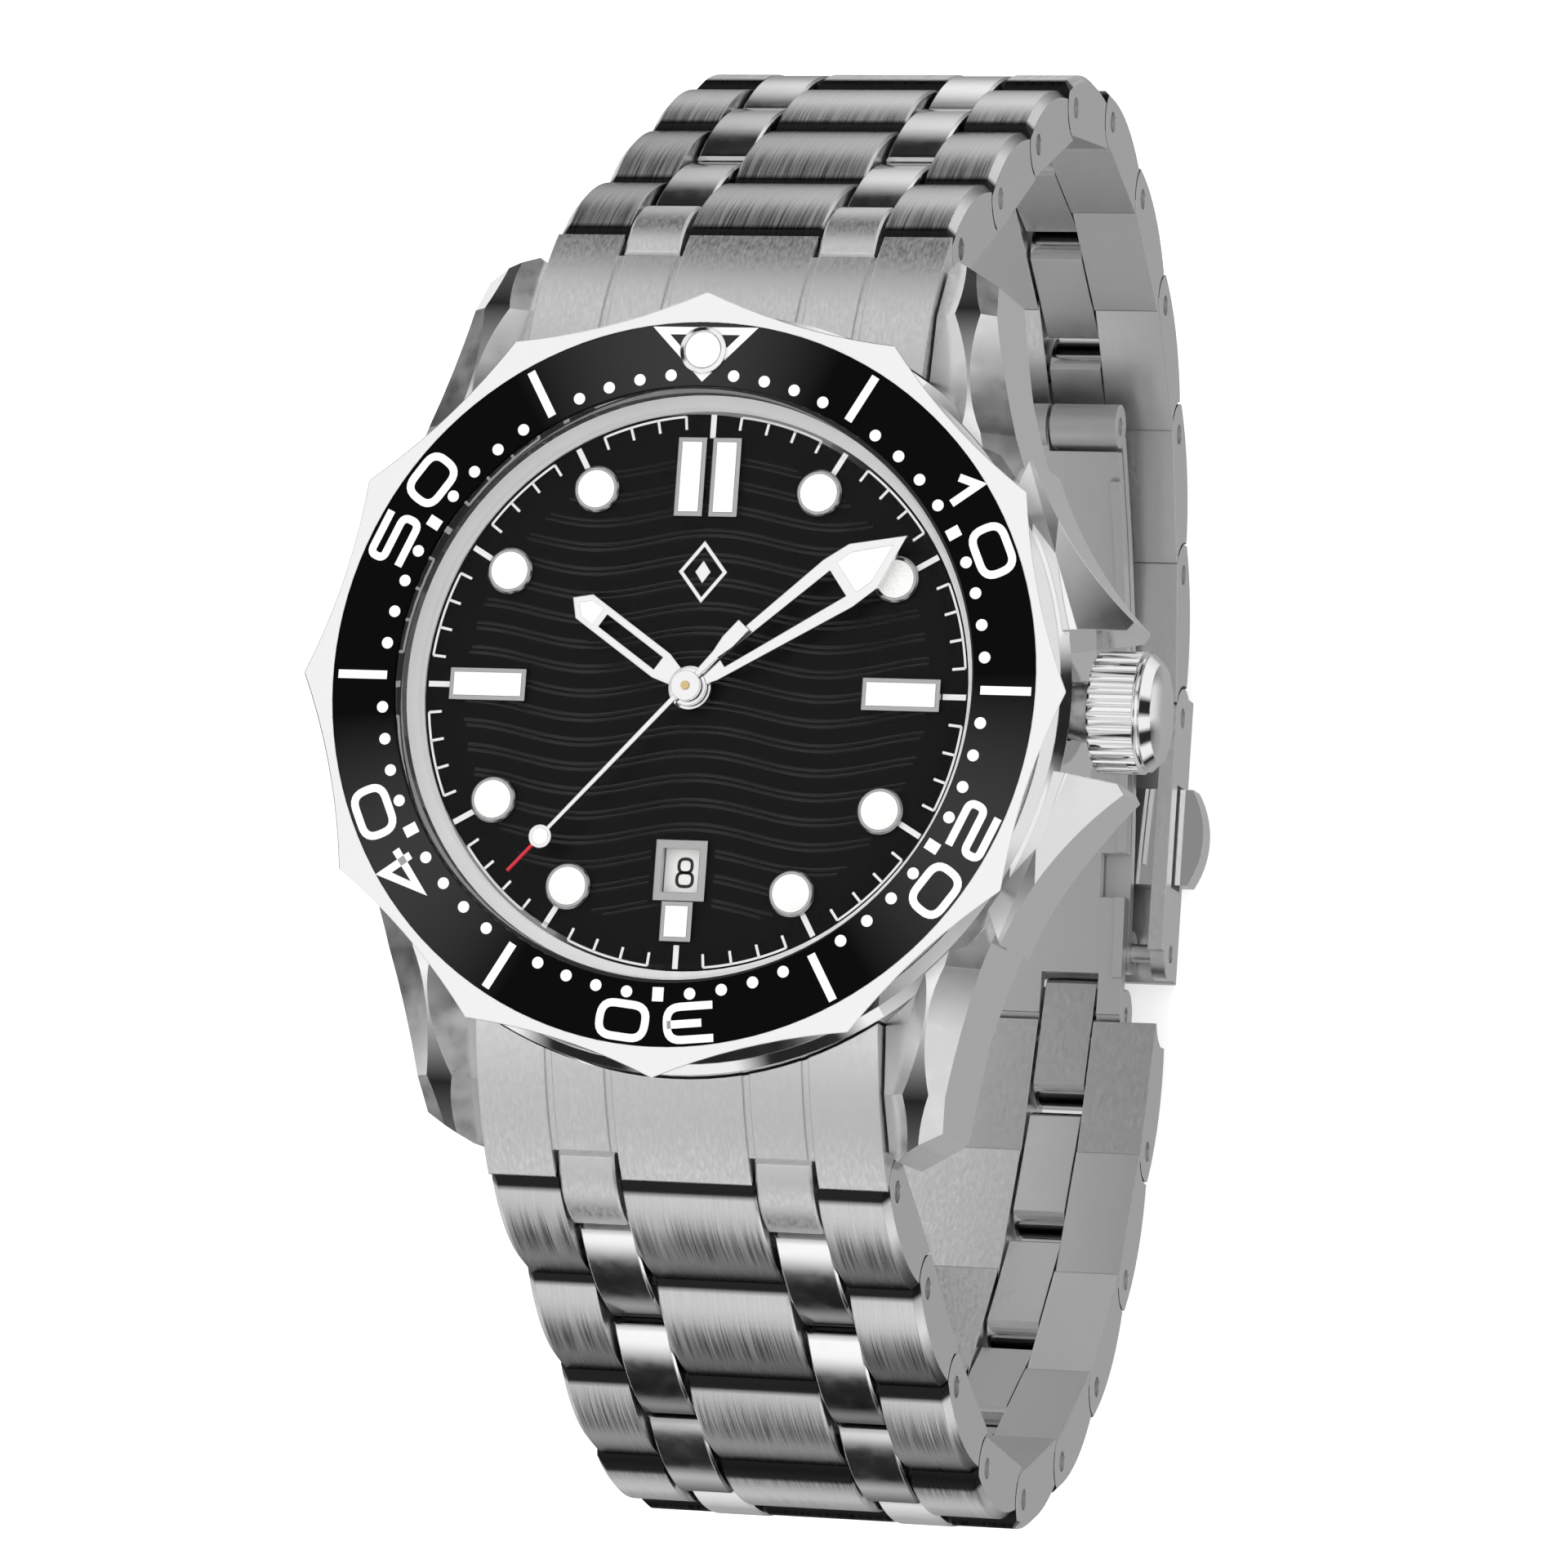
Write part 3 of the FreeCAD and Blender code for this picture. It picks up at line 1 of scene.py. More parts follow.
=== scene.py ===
import json
import math

import bmesh
import bpy
from mathutils import Matrix, Vector


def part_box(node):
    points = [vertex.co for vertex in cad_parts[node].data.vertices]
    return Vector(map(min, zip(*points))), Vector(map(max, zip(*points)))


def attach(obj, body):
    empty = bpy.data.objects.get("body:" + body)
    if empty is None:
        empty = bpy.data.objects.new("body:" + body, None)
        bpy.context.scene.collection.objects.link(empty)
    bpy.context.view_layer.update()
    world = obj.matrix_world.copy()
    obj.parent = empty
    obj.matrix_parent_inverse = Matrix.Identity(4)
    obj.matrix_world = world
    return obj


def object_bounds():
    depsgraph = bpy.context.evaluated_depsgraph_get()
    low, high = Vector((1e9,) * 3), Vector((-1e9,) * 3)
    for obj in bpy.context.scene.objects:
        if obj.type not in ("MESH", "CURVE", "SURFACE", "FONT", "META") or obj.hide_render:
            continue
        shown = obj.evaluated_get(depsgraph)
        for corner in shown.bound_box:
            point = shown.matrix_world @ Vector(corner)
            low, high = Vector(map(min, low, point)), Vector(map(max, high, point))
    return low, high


# Looks of the dive watch, in the frame of the CAD model: +Z out of the dial, +Y to 12 o'clock, +X to 3.
# Places and sizes are in millimetres here, and turn into metres where a mesh or an object is made.
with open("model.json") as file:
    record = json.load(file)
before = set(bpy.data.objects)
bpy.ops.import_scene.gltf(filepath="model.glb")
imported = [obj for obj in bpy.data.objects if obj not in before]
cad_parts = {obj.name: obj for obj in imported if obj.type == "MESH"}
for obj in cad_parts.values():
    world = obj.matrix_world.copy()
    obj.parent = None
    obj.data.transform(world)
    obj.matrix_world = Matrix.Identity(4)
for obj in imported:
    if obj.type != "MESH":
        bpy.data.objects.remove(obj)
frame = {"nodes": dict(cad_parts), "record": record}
cad_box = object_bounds()
nodes = frame["nodes"]
MM = 0.001
DIAL_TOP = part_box("dial")[1].z / MM
INSERT_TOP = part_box("bezel_insert")[1].z / MM
DATE_PLACE = sum(corner.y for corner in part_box("date_frame")) / 2 / MM


# ---------------------------------------------------------------- material helpers

def new_material(name, color, metallic=0.0, roughness=0.5, **inputs):
    """A material with one Principled shader: (material, its nodes, the shader)."""
    made = bpy.data.materials.new(name)
    made.use_nodes = True
    shader = made.node_tree.nodes["Principled BSDF"]
    shader.inputs["Base Color"].default_value = (*color, 1)
    shader.inputs["Metallic"].default_value = metallic
    shader.inputs["Roughness"].default_value = roughness
    for key, number in inputs.items():
        shader.inputs[key.replace("_", " ")].default_value = number
    return made, made.node_tree, shader


def add(tree, kind, **settings):
    node = tree.nodes.new(kind)
    for key, number in settings.items():
        setattr(node, key, number)
    return node


def even(cells):
    """The same number of noise cells a metre along each axis."""
    return (cells, cells, cells)


def grain(tree, cells, detail=3.0):
    """Noise in object space, with its cells a metre given for each axis."""
    place = add(tree, "ShaderNodeTexCoord")
    stretch = add(tree, "ShaderNodeMapping")
    stretch.inputs["Scale"].default_value = cells
    noise = add(tree, "ShaderNodeTexNoise")
    noise.inputs["Scale"].default_value = 1.0
    noise.inputs["Detail"].default_value = detail
    tree.links.new(place.outputs["Object"], stretch.inputs["Vector"])
    tree.links.new(stretch.outputs["Vector"], noise.inputs["Vector"])
    return noise.outputs["Fac"]


def spread(tree, source, low, high, lowest=0.3, highest=0.7):
    """Maps the middle of a noise to a range."""
    node = add(tree, "ShaderNodeMapRange")
    for name, number in (("From Min", lowest), ("From Max", highest), ("To Min", low), ("To Max", high)):
        node.inputs[name].default_value = number
    tree.links.new(source, node.inputs["Value"])
    return node.outputs["Result"]


def bump(tree, shader, source, strength, depth_mm, edge_mm=0.0):
    """Surface relief from a noise; with edge_mm, corners also catch light as if rounded by that much."""
    node = add(tree, "ShaderNodeBump")
    node.inputs["Strength"].default_value = strength
    node.inputs["Distance"].default_value = depth_mm * MM
    tree.links.new(source, node.inputs["Height"])
    if edge_mm:
        tree.links.new(rounded(tree, edge_mm), node.inputs["Normal"])
    tree.links.new(node.outputs["Normal"], shader.inputs["Normal"])


def rounded(tree, edge_mm):
    """Normals as if each corner were rounded by that much."""
    node = add(tree, "ShaderNodeBevel", samples=4)
    node.inputs["Radius"].default_value = edge_mm * MM
    return node.outputs["Normal"]


def grey(level):
    return (level, level, level)


# ---------------------------------------------------------------- materials

def polished_steel():
    made, tree, shader = new_material("polished_steel", grey(0.86), 1.0, 0.05)
    haze = grain(tree, even(900), 4)
    tree.links.new(spread(tree, haze, 0.03, 0.09), shader.inputs["Roughness"])
    bump(tree, shader, grain(tree, even(2500), 2), 0.05, 0.002, 0.07)
    return made


def brushed_steel():
    """Grain along the band: it varies quickly across the band and slowly along it. The base colour also
    carries a painted reflection along each piece: dark at the very ends, bright near the case-side end,
    darkening towards the far end.
    """
    made, tree, shader = new_material("brushed_steel", grey(0.8), 1.0, 0.24)
    streaks = grain(tree, (9000, 160, 160), 4)
    tree.links.new(spread(tree, streaks, 0.2, 0.38), shader.inputs["Roughness"])
    # Painted reflection and shade along each piece, from the case-side end (0) to the far end (1)
    stops = ((0.0, 0.02), (0.06, 0.03), (0.1, 0.85), (0.35, 1.0), (0.6, 0.62), (0.8, 0.2), (0.93, 0.02))
    shade_along(tree, shader, stops, spread(tree, streaks, 0.75, 1.0))
    bump(tree, shader, streaks, 0.22, 0.012, 0.08)
    return made


def narrow_steel():
    """Polished pieces of the band, with a painted reflection: the base colour is bright at the end nearest
    the case and darkens towards the far end.
    """
    made, tree, shader = new_material("narrow_steel", grey(0.86), 1.0, 0.1)
    haze = grain(tree, even(900), 4)
    tree.links.new(spread(tree, haze, 0.08, 0.15), shader.inputs["Roughness"])
    # Painted reflection from the case-side end (0) to the far end (1)
    stops = ((0.0, 0.5), (0.05, 1.0), (0.4, 1.0), (0.65, 0.62), (0.85, 0.3), (0.97, 0.05))
    shade_along(tree, shader, stops, spread(tree, haze, 0.93, 1.0))
    bump(tree, shader, grain(tree, even(2500), 2), 0.05, 0.002, 0.07)
    return made


def side_steel():
    """The polished flanks of the band."""
    made, tree, shader = new_material("side_steel", grey(0.75), 1.0, 0.12)
    haze = grain(tree, even(900), 4)
    tree.links.new(spread(tree, haze, 0.1, 0.2), shader.inputs["Roughness"])
    bump(tree, shader, haze, 0.04, 0.002, 0.1)
    return made


def grey_ramp(tree, stops):
    """A colour ramp through grey levels: stops are (place, level), in rising order."""
    ramp = add(tree, "ShaderNodeValToRGB")
    elements = ramp.color_ramp.elements
    for element, (place, level) in ((elements[0], stops[0]), (elements[1], stops[-1])):
        element.position = place
        element.color = (*grey(level), 1)
    for place, level in stops[1:-1]:
        elements.new(place).color = (*grey(level), 1)
    return ramp


def shade_along(tree, shader, stops, streaks):
    """Base colour painted with grey levels by the mesh's "along" value, 0 at a piece's one end and 1 at the
    other, times a streak: painted reflection and shade.
    """
    place = add(tree, "ShaderNodeAttribute", attribute_name="along")
    ramp = grey_ramp(tree, stops)
    tree.links.new(place.outputs["Fac"], ramp.inputs["Fac"])
    product = add(tree, "ShaderNodeVectorMath", operation="SCALE")
    tree.links.new(ramp.outputs["Color"], product.inputs[0])
    tree.links.new(streaks, product.inputs["Scale"])
    tree.links.new(product.outputs["Vector"], shader.inputs["Base Color"])


def graded_steel(name, stops):
    """A polished facet whose grey level changes along it, as if dark flags were reflected in it."""
    made, tree, shader = new_material(name, grey(0.9), 1.0, 0.3)
    haze = grain(tree, even(900), 4)
    tree.links.new(spread(tree, haze, 0.26, 0.34), shader.inputs["Roughness"])
    shade_along(tree, shader, stops, spread(tree, haze, 0.95, 1.0))
    bump(tree, shader, grain(tree, even(2500), 2), 0.05, 0.002)
    return made


def marker_steel():
    """Darker polished rims round the luminous fillings."""
    made, tree, shader = new_material("marker_steel", grey(0.42), 1.0, 0.16)
    haze = grain(tree, even(3000), 3)
    tree.links.new(spread(tree, haze, 0.12, 0.2), shader.inputs["Roughness"])
    bump(tree, shader, haze, 0.05, 0.002, 0.06)
    return made


def rehaut_silver():
    """The bright ring between the dial and the glass."""
    made, tree, shader = new_material("rehaut_silver", grey(0.8), 0.0, 0.35)
    fine = grain(tree, even(2500), 3)
    tree.links.new(spread(tree, fine, 0.3, 0.42), shader.inputs["Roughness"])
    bump(tree, shader, fine, 0.1, 0.004)
    return made


def satin_steel():
    made, tree, shader = new_material("satin_steel", grey(0.82), 1.0, 0.34)
    fine = grain(tree, (7000, 2500, 2500), 4)
    tree.links.new(spread(tree, fine, 0.28, 0.42), shader.inputs["Roughness"])
    bump(tree, shader, fine, 0.16, 0.01, 0.08)
    return made


def blasted_steel():
    made, tree, shader = new_material("blasted_steel", grey(0.72), 1.0, 0.42)
    fine = grain(tree, even(9000), 3)
    tree.links.new(spread(tree, fine, 0.36, 0.52), shader.inputs["Roughness"])
    bump(tree, shader, fine, 0.3, 0.01, 0.08)
    return made


def pin_steel():
    made, tree, shader = new_material("pin_steel", grey(0.45), 1.0, 0.3)
    bump(tree, shader, grain(tree, (3000, 20000, 20000), 2), 0.2, 0.004)
    return made


def black_ceramic():
    """Near black, with a painted sheen near 12 o'clock and to both sides of 6 o'clock: the specular level
    follows the angle round the insert.
    """
    made, tree, shader = new_material("black_ceramic", grey(0.002), 0.0, 0.12)
    place = add(tree, "ShaderNodeTexCoord")
    split = add(tree, "ShaderNodeSeparateXYZ")
    tree.links.new(place.outputs["Object"], split.inputs["Vector"])
    around = add(tree, "ShaderNodeMath", operation="ARCTAN2")
    tree.links.new(split.outputs["X"], around.inputs[0])
    tree.links.new(split.outputs["Y"], around.inputs[1])
    # Painted sheen: the specular level rises and falls three times round the insert
    sheens, shift = 3.0, 0.25
    times = add(tree, "ShaderNodeMath", operation="MULTIPLY_ADD")
    times.inputs[1].default_value = sheens
    times.inputs[2].default_value = shift
    tree.links.new(around.outputs[0], times.inputs[0])
    wave = add(tree, "ShaderNodeMath", operation="COSINE")
    tree.links.new(times.outputs[0], wave.inputs[0])
    tree.links.new(spread(tree, wave.outputs[0], 0.02, 0.5, 0.1, 1.0), shader.inputs["Specular IOR Level"])
    haze = grain(tree, even(1500), 3)
    tree.links.new(spread(tree, haze, 0.10, 0.17), shader.inputs["Roughness"])
    bump(tree, shader, haze, 0.03, 0.002, 0.05)
    return made


def dial_black():
    made, tree, shader = new_material("dial_black", grey(0.003), 0.0, 0.3)
    shader.inputs["Specular IOR Level"].default_value = 0.08
    fine = grain(tree, even(6000), 3)
    tree.links.new(spread(tree, fine, 0.25, 0.36), shader.inputs["Roughness"])
    bump(tree, shader, fine, 0.05, 0.003)
    return made


def wave_black():
    made, tree, shader = new_material("wave_black", grey(0.01), 0.0, 0.22)
    shader.inputs["Specular IOR Level"].default_value = 0.3
    bump(tree, shader, grain(tree, even(4000), 2), 0.05, 0.003)
    return made


def glow_white():
    made, tree, shader = new_material("glow_white", (0.9, 0.9, 0.88), 0.0, 0.75)
    fine = grain(tree, even(9000), 3)
    tint = add(tree, "ShaderNodeMix", data_type="RGBA")
    tint.inputs["A"].default_value = (0.8, 0.8, 0.78, 1)
    tint.inputs["B"].default_value = (0.95, 0.95, 0.93, 1)
    tree.links.new(spread(tree, fine, 0.0, 1.0), tint.inputs["Factor"])
    tree.links.new(tint.outputs["Result"], shader.inputs["Base Color"])
    bump(tree, shader, fine, 0.35, 0.01)
    return made


def print_paint(name, color):
    made, tree, shader = new_material(name, color, 0.0, 0.5)
    fine = grain(tree, even(8000), 2)
    tree.links.new(spread(tree, fine, 0.42, 0.6), shader.inputs["Roughness"])
    bump(tree, shader, fine, 0.15, 0.003)
    return made


def sapphire():
    """A clear pane: light passes straight through, and only grazing reflections show."""
    made, tree, shader = new_material("sapphire", grey(1.0), 0.0, 0.0)
    clear = add(tree, "ShaderNodeBsdfTransparent")
    gloss = add(tree, "ShaderNodeBsdfGlossy")
    gloss.inputs["Color"].default_value = (*grey(0.9), 1)
    edge = add(tree, "ShaderNodeFresnel")
    edge.inputs["IOR"].default_value = 1.12
    haze = grain(tree, even(300), 2)
    tree.links.new(spread(tree, haze, 0.01, 0.04), gloss.inputs["Roughness"])
    mix = add(tree, "ShaderNodeMixShader")
    tree.links.new(spread(tree, edge.outputs["Fac"], 0.0, 0.4, 0.0, 1.0), mix.inputs["Fac"])
    tree.links.new(clear.outputs["BSDF"], mix.inputs[1])
    tree.links.new(gloss.outputs["BSDF"], mix.inputs[2])
    tree.links.new(mix.outputs["Shader"], tree.nodes["Material Output"].inputs["Surface"])
    tree.nodes.remove(shader)
    return made


def rubber():
    made, tree, shader = new_material("rubber", grey(0.02), 0.0, 0.7)
    bump(tree, shader, grain(tree, even(5000), 3), 0.3, 0.01)
    return made


def gilt_brass():
    made, tree, shader = new_material("gilt_brass", (0.72, 0.55, 0.27), 1.0, 0.3)
    bump(tree, shader, grain(tree, (6000, 900, 900), 3), 0.2, 0.005)
    return made


def movement_plate():
    made, tree, shader = new_material("movement_plate", (0.62, 0.61, 0.58), 1.0, 0.32)
    bump(tree, shader, grain(tree, (700, 5000, 5000), 3), 0.3, 0.008)
    return made


def pale_floor():
    made, tree, shader = new_material("pale_floor", grey(0.95), 0.0, 0.8, Emission_Strength=0.25)
    shader.inputs["Emission Color"].default_value = (1, 1, 1, 1)
    fine = grain(tree, even(200), 3)
    bump(tree, shader, fine, 0.02, 0.02)
    return made


STEEL = polished_steel()
BRUSHED = brushed_steel()
NARROW = narrow_steel()
SIDE = side_steel()
# Painted reflections of dark flags on the lugs' facets, from tip (0) to root (1), and on a bezel facet along
# its run
LUG_INNER = graded_steel("lug_inner_steel", ((0.0, 1.0), (0.4, 0.9), (0.6, 0.5), (0.8, 0.12), (1.0, 0.1)))
LUG_MIDDLE = graded_steel("lug_middle_steel", ((0.0, 0.2), (0.2, 0.03), (0.45, 0.6), (0.6, 1.0), (1.0, 0.5)))
LUG_OUTER = graded_steel("lug_outer_steel", ((0.0, 1.0), (0.45, 1.0), (0.65, 0.4), (0.8, 0.8), (1.0, 0.3)))
FACET = graded_steel("bezel_facet_steel",
                     ((0.0, 1.0), (0.3, 0.9), (0.5, 0.25), (0.62, 0.08), (0.72, 0.7), (1.0, 1.0)))
MARKER = marker_steel()
SILVER = rehaut_silver()
SATIN = satin_steel()
BLASTED = blasted_steel()
PIN = pin_steel()
CERAMIC = black_ceramic()
DIAL = dial_black()
WAVE = wave_black()
GLOW = glow_white()
SCALE = print_paint("scale_white", (0.8, 0.8, 0.79))
WHITE = print_paint("date_white", (0.9, 0.9, 0.88))
INK = print_paint("date_ink", (0.01, 0.01, 0.01))
CRIMSON = print_paint("crimson", (0.55, 0.01, 0.03))
GLASS = sapphire()
RUBBER = rubber()
BRASS = gilt_brass()
PLATE = movement_plate()

NODE_LOOKS = {
    STEEL: "crown push_button_right push_button_left",
    MARKER: "date_frame",
    SILVER: "rehaut_ring",
    SATIN: "end_links clasp_cover case_back",
    BLASTED: "blade_outer blade_inner bezel_click_spring",
    PIN: "crown_tube winding_stem clutch_wheel lug_spring_bars cannon_pinion pallet_fork escape_wheel",
    CERAMIC: "bezel_insert",
    DIAL: "dial",
    GLASS: "crystal",
    RUBBER: "case_back_gasket crystal_gasket crown_gasket",
    BRASS: "hour_wheel minute_wheel centre_wheel third_wheel fourth_wheel barrel balance_wheel",
    PLATE: "mainplate train_bridge winding_rotor",
    WHITE: "date_ring",
}


# ---------------------------------------------------------------- finish of the CAD nodes

NEAR = 0.001                        # points closer than this are one point
NARROW_FROM, NARROW_TO = 3.8, 7.0   # the narrow pieces of the band, from its middle line
LUG_TIP, LUG_ROOT = 23.9, 9.0       # how far along Y a lug ends and begins


def paint(node, *looks):
    """Gives a node its materials; the first covers every face."""
    mesh = nodes[node].data
    mesh.materials.clear()
    for look in looks:
        mesh.materials.append(look)
    for face in mesh.polygons:
        face.material_index = 0


def islands(mesh):
    """The separate solids in a mesh, each as (face indices, low corner, high corner)."""
    roots = {}

    def root(key):
        while roots[key] != key:
            roots[key] = roots[roots[key]]
            key = roots[key]
        return key

    keys = [tuple(round(c / MM / NEAR) for c in v.co) for v in mesh.vertices]
    for key in keys:
        roots[key] = key
    for face in mesh.polygons:
        first = root(keys[face.vertices[0]])
        for index in face.vertices[1:]:
            roots[root(keys[index])] = first
    groups = {}
    for face in mesh.polygons:
        groups.setdefault(root(keys[face.vertices[0]]), []).append(face.index)
    found = []
    for faces in groups.values():
        points = [mesh.vertices[i].co for f in faces for i in mesh.polygons[f].vertices]
        low = Vector([min(p[a] for p in points) for a in range(3)])
        high = Vector([max(p[a] for p in points) for a in range(3)])
        found.append((faces, low, high))
    return found


def set_faces(mesh, faces, index):
    for face in faces:
        mesh.polygons[face].material_index = index


def glow_inside(node):
    """Solids that stand within another one's outline are the luminous filling."""
    mesh = nodes[node].data
    gap = NEAR * MM
    found = islands(mesh)
    for faces, low, high in found:
        for _, outer_low, outer_high in found:
            if all(outer_low[a] < low[a] - gap and high[a] + gap < outer_high[a] for a in (0, 1)):
                set_faces(mesh, faces, 1)


def glow_faces():
    """The fillings of the hour markers: the inner discs of the round ones, the tops of the bars."""
    round_place, fill_radius, disc_level, bar_level, facing_up = 12.2, 1.0, 0.2, 0.43, 0.5
    mesh = nodes["hour_markers"].data
    for face in mesh.polygons:
        across, along, level = (c / MM for c in face.center)
        angle = math.degrees(math.atan2(across, along)) % 360
        hour = round(angle / 30) % 12
        raised = level - DIAL_TOP
        turn = math.radians(30 * hour)
        if hour % 3:
            spot = Vector((round_place * math.sin(turn), round_place * math.cos(turn)))
            filled = (Vector((across, along)) - spot).length < fill_radius and raised > disc_level
        else:
            filled = face.normal.z > facing_up and raised > bar_level
        if filled:
            face.material_index = 1


def link_line(node):
    """The pin a link turns on and the direction along the band to the next pin."""
    joints = {joint["name"]: Vector(joint["pos_m"]) for joint in frame["record"]["behaviour"]["joints"]
              if "pos_m" in joint}
    half, row = node[5], int(node[6:])
    after = f"row_{half}{row + 1}_fold"
    if after in joints:
        end = joints[after]
    else:
        end = joints["cover_fold"].copy()
        end.y *= 1 if half == "a" else -1
    start = joints[f"row_{half}{row}_fold"]
    return start, (end - start).normalized()


def finish_link(node):
    """Three brushed pieces with polished flanks, two polished narrow pieces and two pins.

    Faces towards the wrist are satin.
    """
    wide_from, wide_length, narrow_start, narrow_length = -1.5, 8.6, 2.85, 7.8
    flank_from, pin_length, facing_in, facing_aside = 10.8, 8, 0.7, 0.9
    looks = (BRUSHED, NARROW, SIDE, PIN, SATIN)
    paint(node, *looks)
    mesh = nodes[node].data
    start, heading = link_line(node)
    outwards = Vector((1, 0, 0)).cross(heading) * (1 if node[5] == "a" else -1)
    # The "along" value places the painted reflection on the brushed and narrow pieces, from each piece's
    # case-side end
    along = mesh.attributes.new("along", "FLOAT", "POINT")
    for vertex in mesh.vertices:
        reach = (vertex.co - start).dot(heading) / MM
        if NARROW_FROM * MM < abs(vertex.co.x) < NARROW_TO * MM:
            along.data[vertex.index].value = (reach - narrow_start) / narrow_length
        else:
            along.data[vertex.index].value = (reach - wide_from) / wide_length
    for face in mesh.polygons:
        across = [mesh.vertices[i].co.x for i in face.vertices]
        middle = abs(face.center.x)
        look = BRUSHED
        if max(across) - min(across) > pin_length * MM:
            look = PIN
        elif face.normal.dot(outwards) < -facing_in:
            look = SATIN
        elif NARROW_FROM * MM < middle < NARROW_TO * MM:
            look = NARROW
        elif middle > flank_from * MM and abs(face.normal.x) > facing_aside:
            look = SIDE
        face.material_index = looks.index(look)


def finish_lugs():
    """The three facets along each lug's top, told apart by the side they lean to."""
    lug_inside, facing_up, leaning = 11.2, 0.4, 0.2
    looks = (STEEL, LUG_INNER, LUG_MIDDLE, LUG_OUTER)
    paint("case_middle", *looks)
    mesh = nodes["case_middle"].data
    # The "along" value places the painted reflections on the lug facets: 0 at the tip, 1 at the root
    along = mesh.attributes.new("along", "FLOAT", "POINT")
    for vertex in mesh.vertices:
        along.data[vertex.index].value = (LUG_TIP - abs(vertex.co.y) / MM) / (LUG_TIP - LUG_ROOT)
    for face in mesh.polygons:
        on_lug = abs(face.center.x) > lug_inside * MM and abs(face.center.y) > LUG_ROOT * MM
        if on_lug and face.normal.z > facing_up:
            lean = face.normal.x * (1 if face.center.x > 0 else -1)
            look = LUG_OUTER if lean > leaning else LUG_INNER if lean < -leaning else LUG_MIDDLE
            face.material_index = looks.index(look)


def finish_bezel():
    """Each of the twelve facets round the bezel gets a painted reflection, graded from one end to the other.
    """
    span, facet_from, least_up, most_up = 360 / 12, 19.3, 0.2, 0.97
    paint("bezel_ring", STEEL, FACET)
    mesh = nodes["bezel_ring"].data
    along = mesh.attributes.new("along", "FLOAT", "CORNER")
    for face in mesh.polygons:
        middle = math.degrees(math.atan2(face.center.x, face.center.y))
        centre = (math.floor(middle / span) + 0.5) * span
        for corner in face.loop_indices:
            spot = mesh.vertices[mesh.loops[corner].vertex_index].co
            angle = math.degrees(math.atan2(spot.x, spot.y))
            offset = (angle - centre + 180) % 360 - 180
            along.data[corner].value = 0.5 + offset / span
        if least_up < face.normal.z < most_up and face.center.xy.length > facet_from * MM:
            face.material_index = 1


def finish_nodes():
    """Every CAD node gets its look; some get a second one on a few faces."""
    red_tip_from = 11.75
    for look, names in NODE_LOOKS.items():
        for node in names.split():
            paint(node, look)
    for node in ("hour_hand", "minute_hand", "seconds_hand", "bezel_pearl"):
        paint(node, STEEL, GLOW, CRIMSON)
        glow_inside(node)
    for face in nodes["seconds_hand"].data.polygons:
        if face.center.xy.length > red_tip_from * MM:
            face.material_index = 2
    paint("hour_markers", MARKER, GLOW)
    glow_faces()
    finish_lugs()
    finish_bezel()
    for node in nodes:
        if node.startswith("link_"):
            finish_link(node)


# ---------------------------------------------------------------- flat marks

def mesh_piece(name, points, faces, look, body):
    """A new piece from points in millimetres, riding on a body."""
    mesh = bpy.data.meshes.new(name)
    mesh.from_pydata([Vector(p) * MM for p in points], [], faces)
    mesh.materials.append(look)
    made = bpy.data.objects.new(name, mesh)
    bpy.context.scene.collection.objects.link(made)
    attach(made, body)
    return made


class Marks:
    """A set of thin raised shapes, kept as one mesh."""

    def __init__(self, level, height):
        self.low, self.high = level, level + height
        self.points, self.faces = [], []

    def plate(self, outline):
        """A flat shape with upright sides from a convex outline of (x, y) points."""
        first, count = len(self.points), len(outline)
        self.points += [(x, y, self.low) for x, y in outline]
        self.points += [(x, y, self.high) for x, y in outline]
        self.faces.append([first + count + n for n in range(count)])
        self.faces.append([first + n for n in reversed(range(count))])
        for n in range(count):
            after = (n + 1) % count
            self.faces.append([first + n, first + after, first + count + after, first + count + n])

    def stroke(self, path, width, closed=False):
        """A line of even width along a path, with mitred corners that don't grow past least_mitre."""
        least_mitre = 0.35
        count = len(path)
        left, right = [], []
        for n, point in enumerate(path):
            here = Vector(point)
            before = Vector(path[n - 1]) if closed or n else None
            after = Vector(path[(n + 1) % count]) if closed or n < count - 1 else None
            into = (here - before).normalized() if before is not None else (after - here).normalized()
            out = (after - here).normalized() if after is not None else into
            side = Vector((-(into.y + out.y), into.x + out.x)).normalized()
            reach = width / 2 / max(least_mitre, side.dot(Vector((-out.y, out.x))))
            left.append(tuple(here + side * reach))
            right.append(tuple(here - side * reach))
        spans = count if closed else count - 1
        first = len(self.points)
        for rail, level in ((left, self.low), (right, self.low), (right, self.high), (left, self.high)):
            self.points += [(x, y, level) for x, y in rail]
        for n in range(spans):
            after = (n + 1) % count
            for a, b in ((0, 1), (1, 2), (2, 3), (3, 0)):
                self.faces.append([first + a * count + n, first + a * count + after,
                                   first + b * count + after, first + b * count + n])
        if not closed:
            self.faces.append([first, first + count, first + 2 * count, first + 3 * count])
            self.faces.append([first + k * count + count - 1 for k in (3, 2, 1, 0)])

    def disc(self, centre, radius, sides=20):
        self.plate([(centre[0] + radius * math.cos(2 * math.pi * n / sides),
                     centre[1] + radius * math.sin(2 * math.pi * n / sides)) for n in range(sides)])

    def make(self, name, look, body):
        """The marks as one piece, with every face turned outwards."""
        made = mesh_piece(name, self.points, self.faces, look, body)
        work = bmesh.new()
        work.from_mesh(made.data)
        bmesh.ops.recalc_face_normals(work, faces=work.faces)
        work.to_mesh(made.data)
        work.free()
        return made


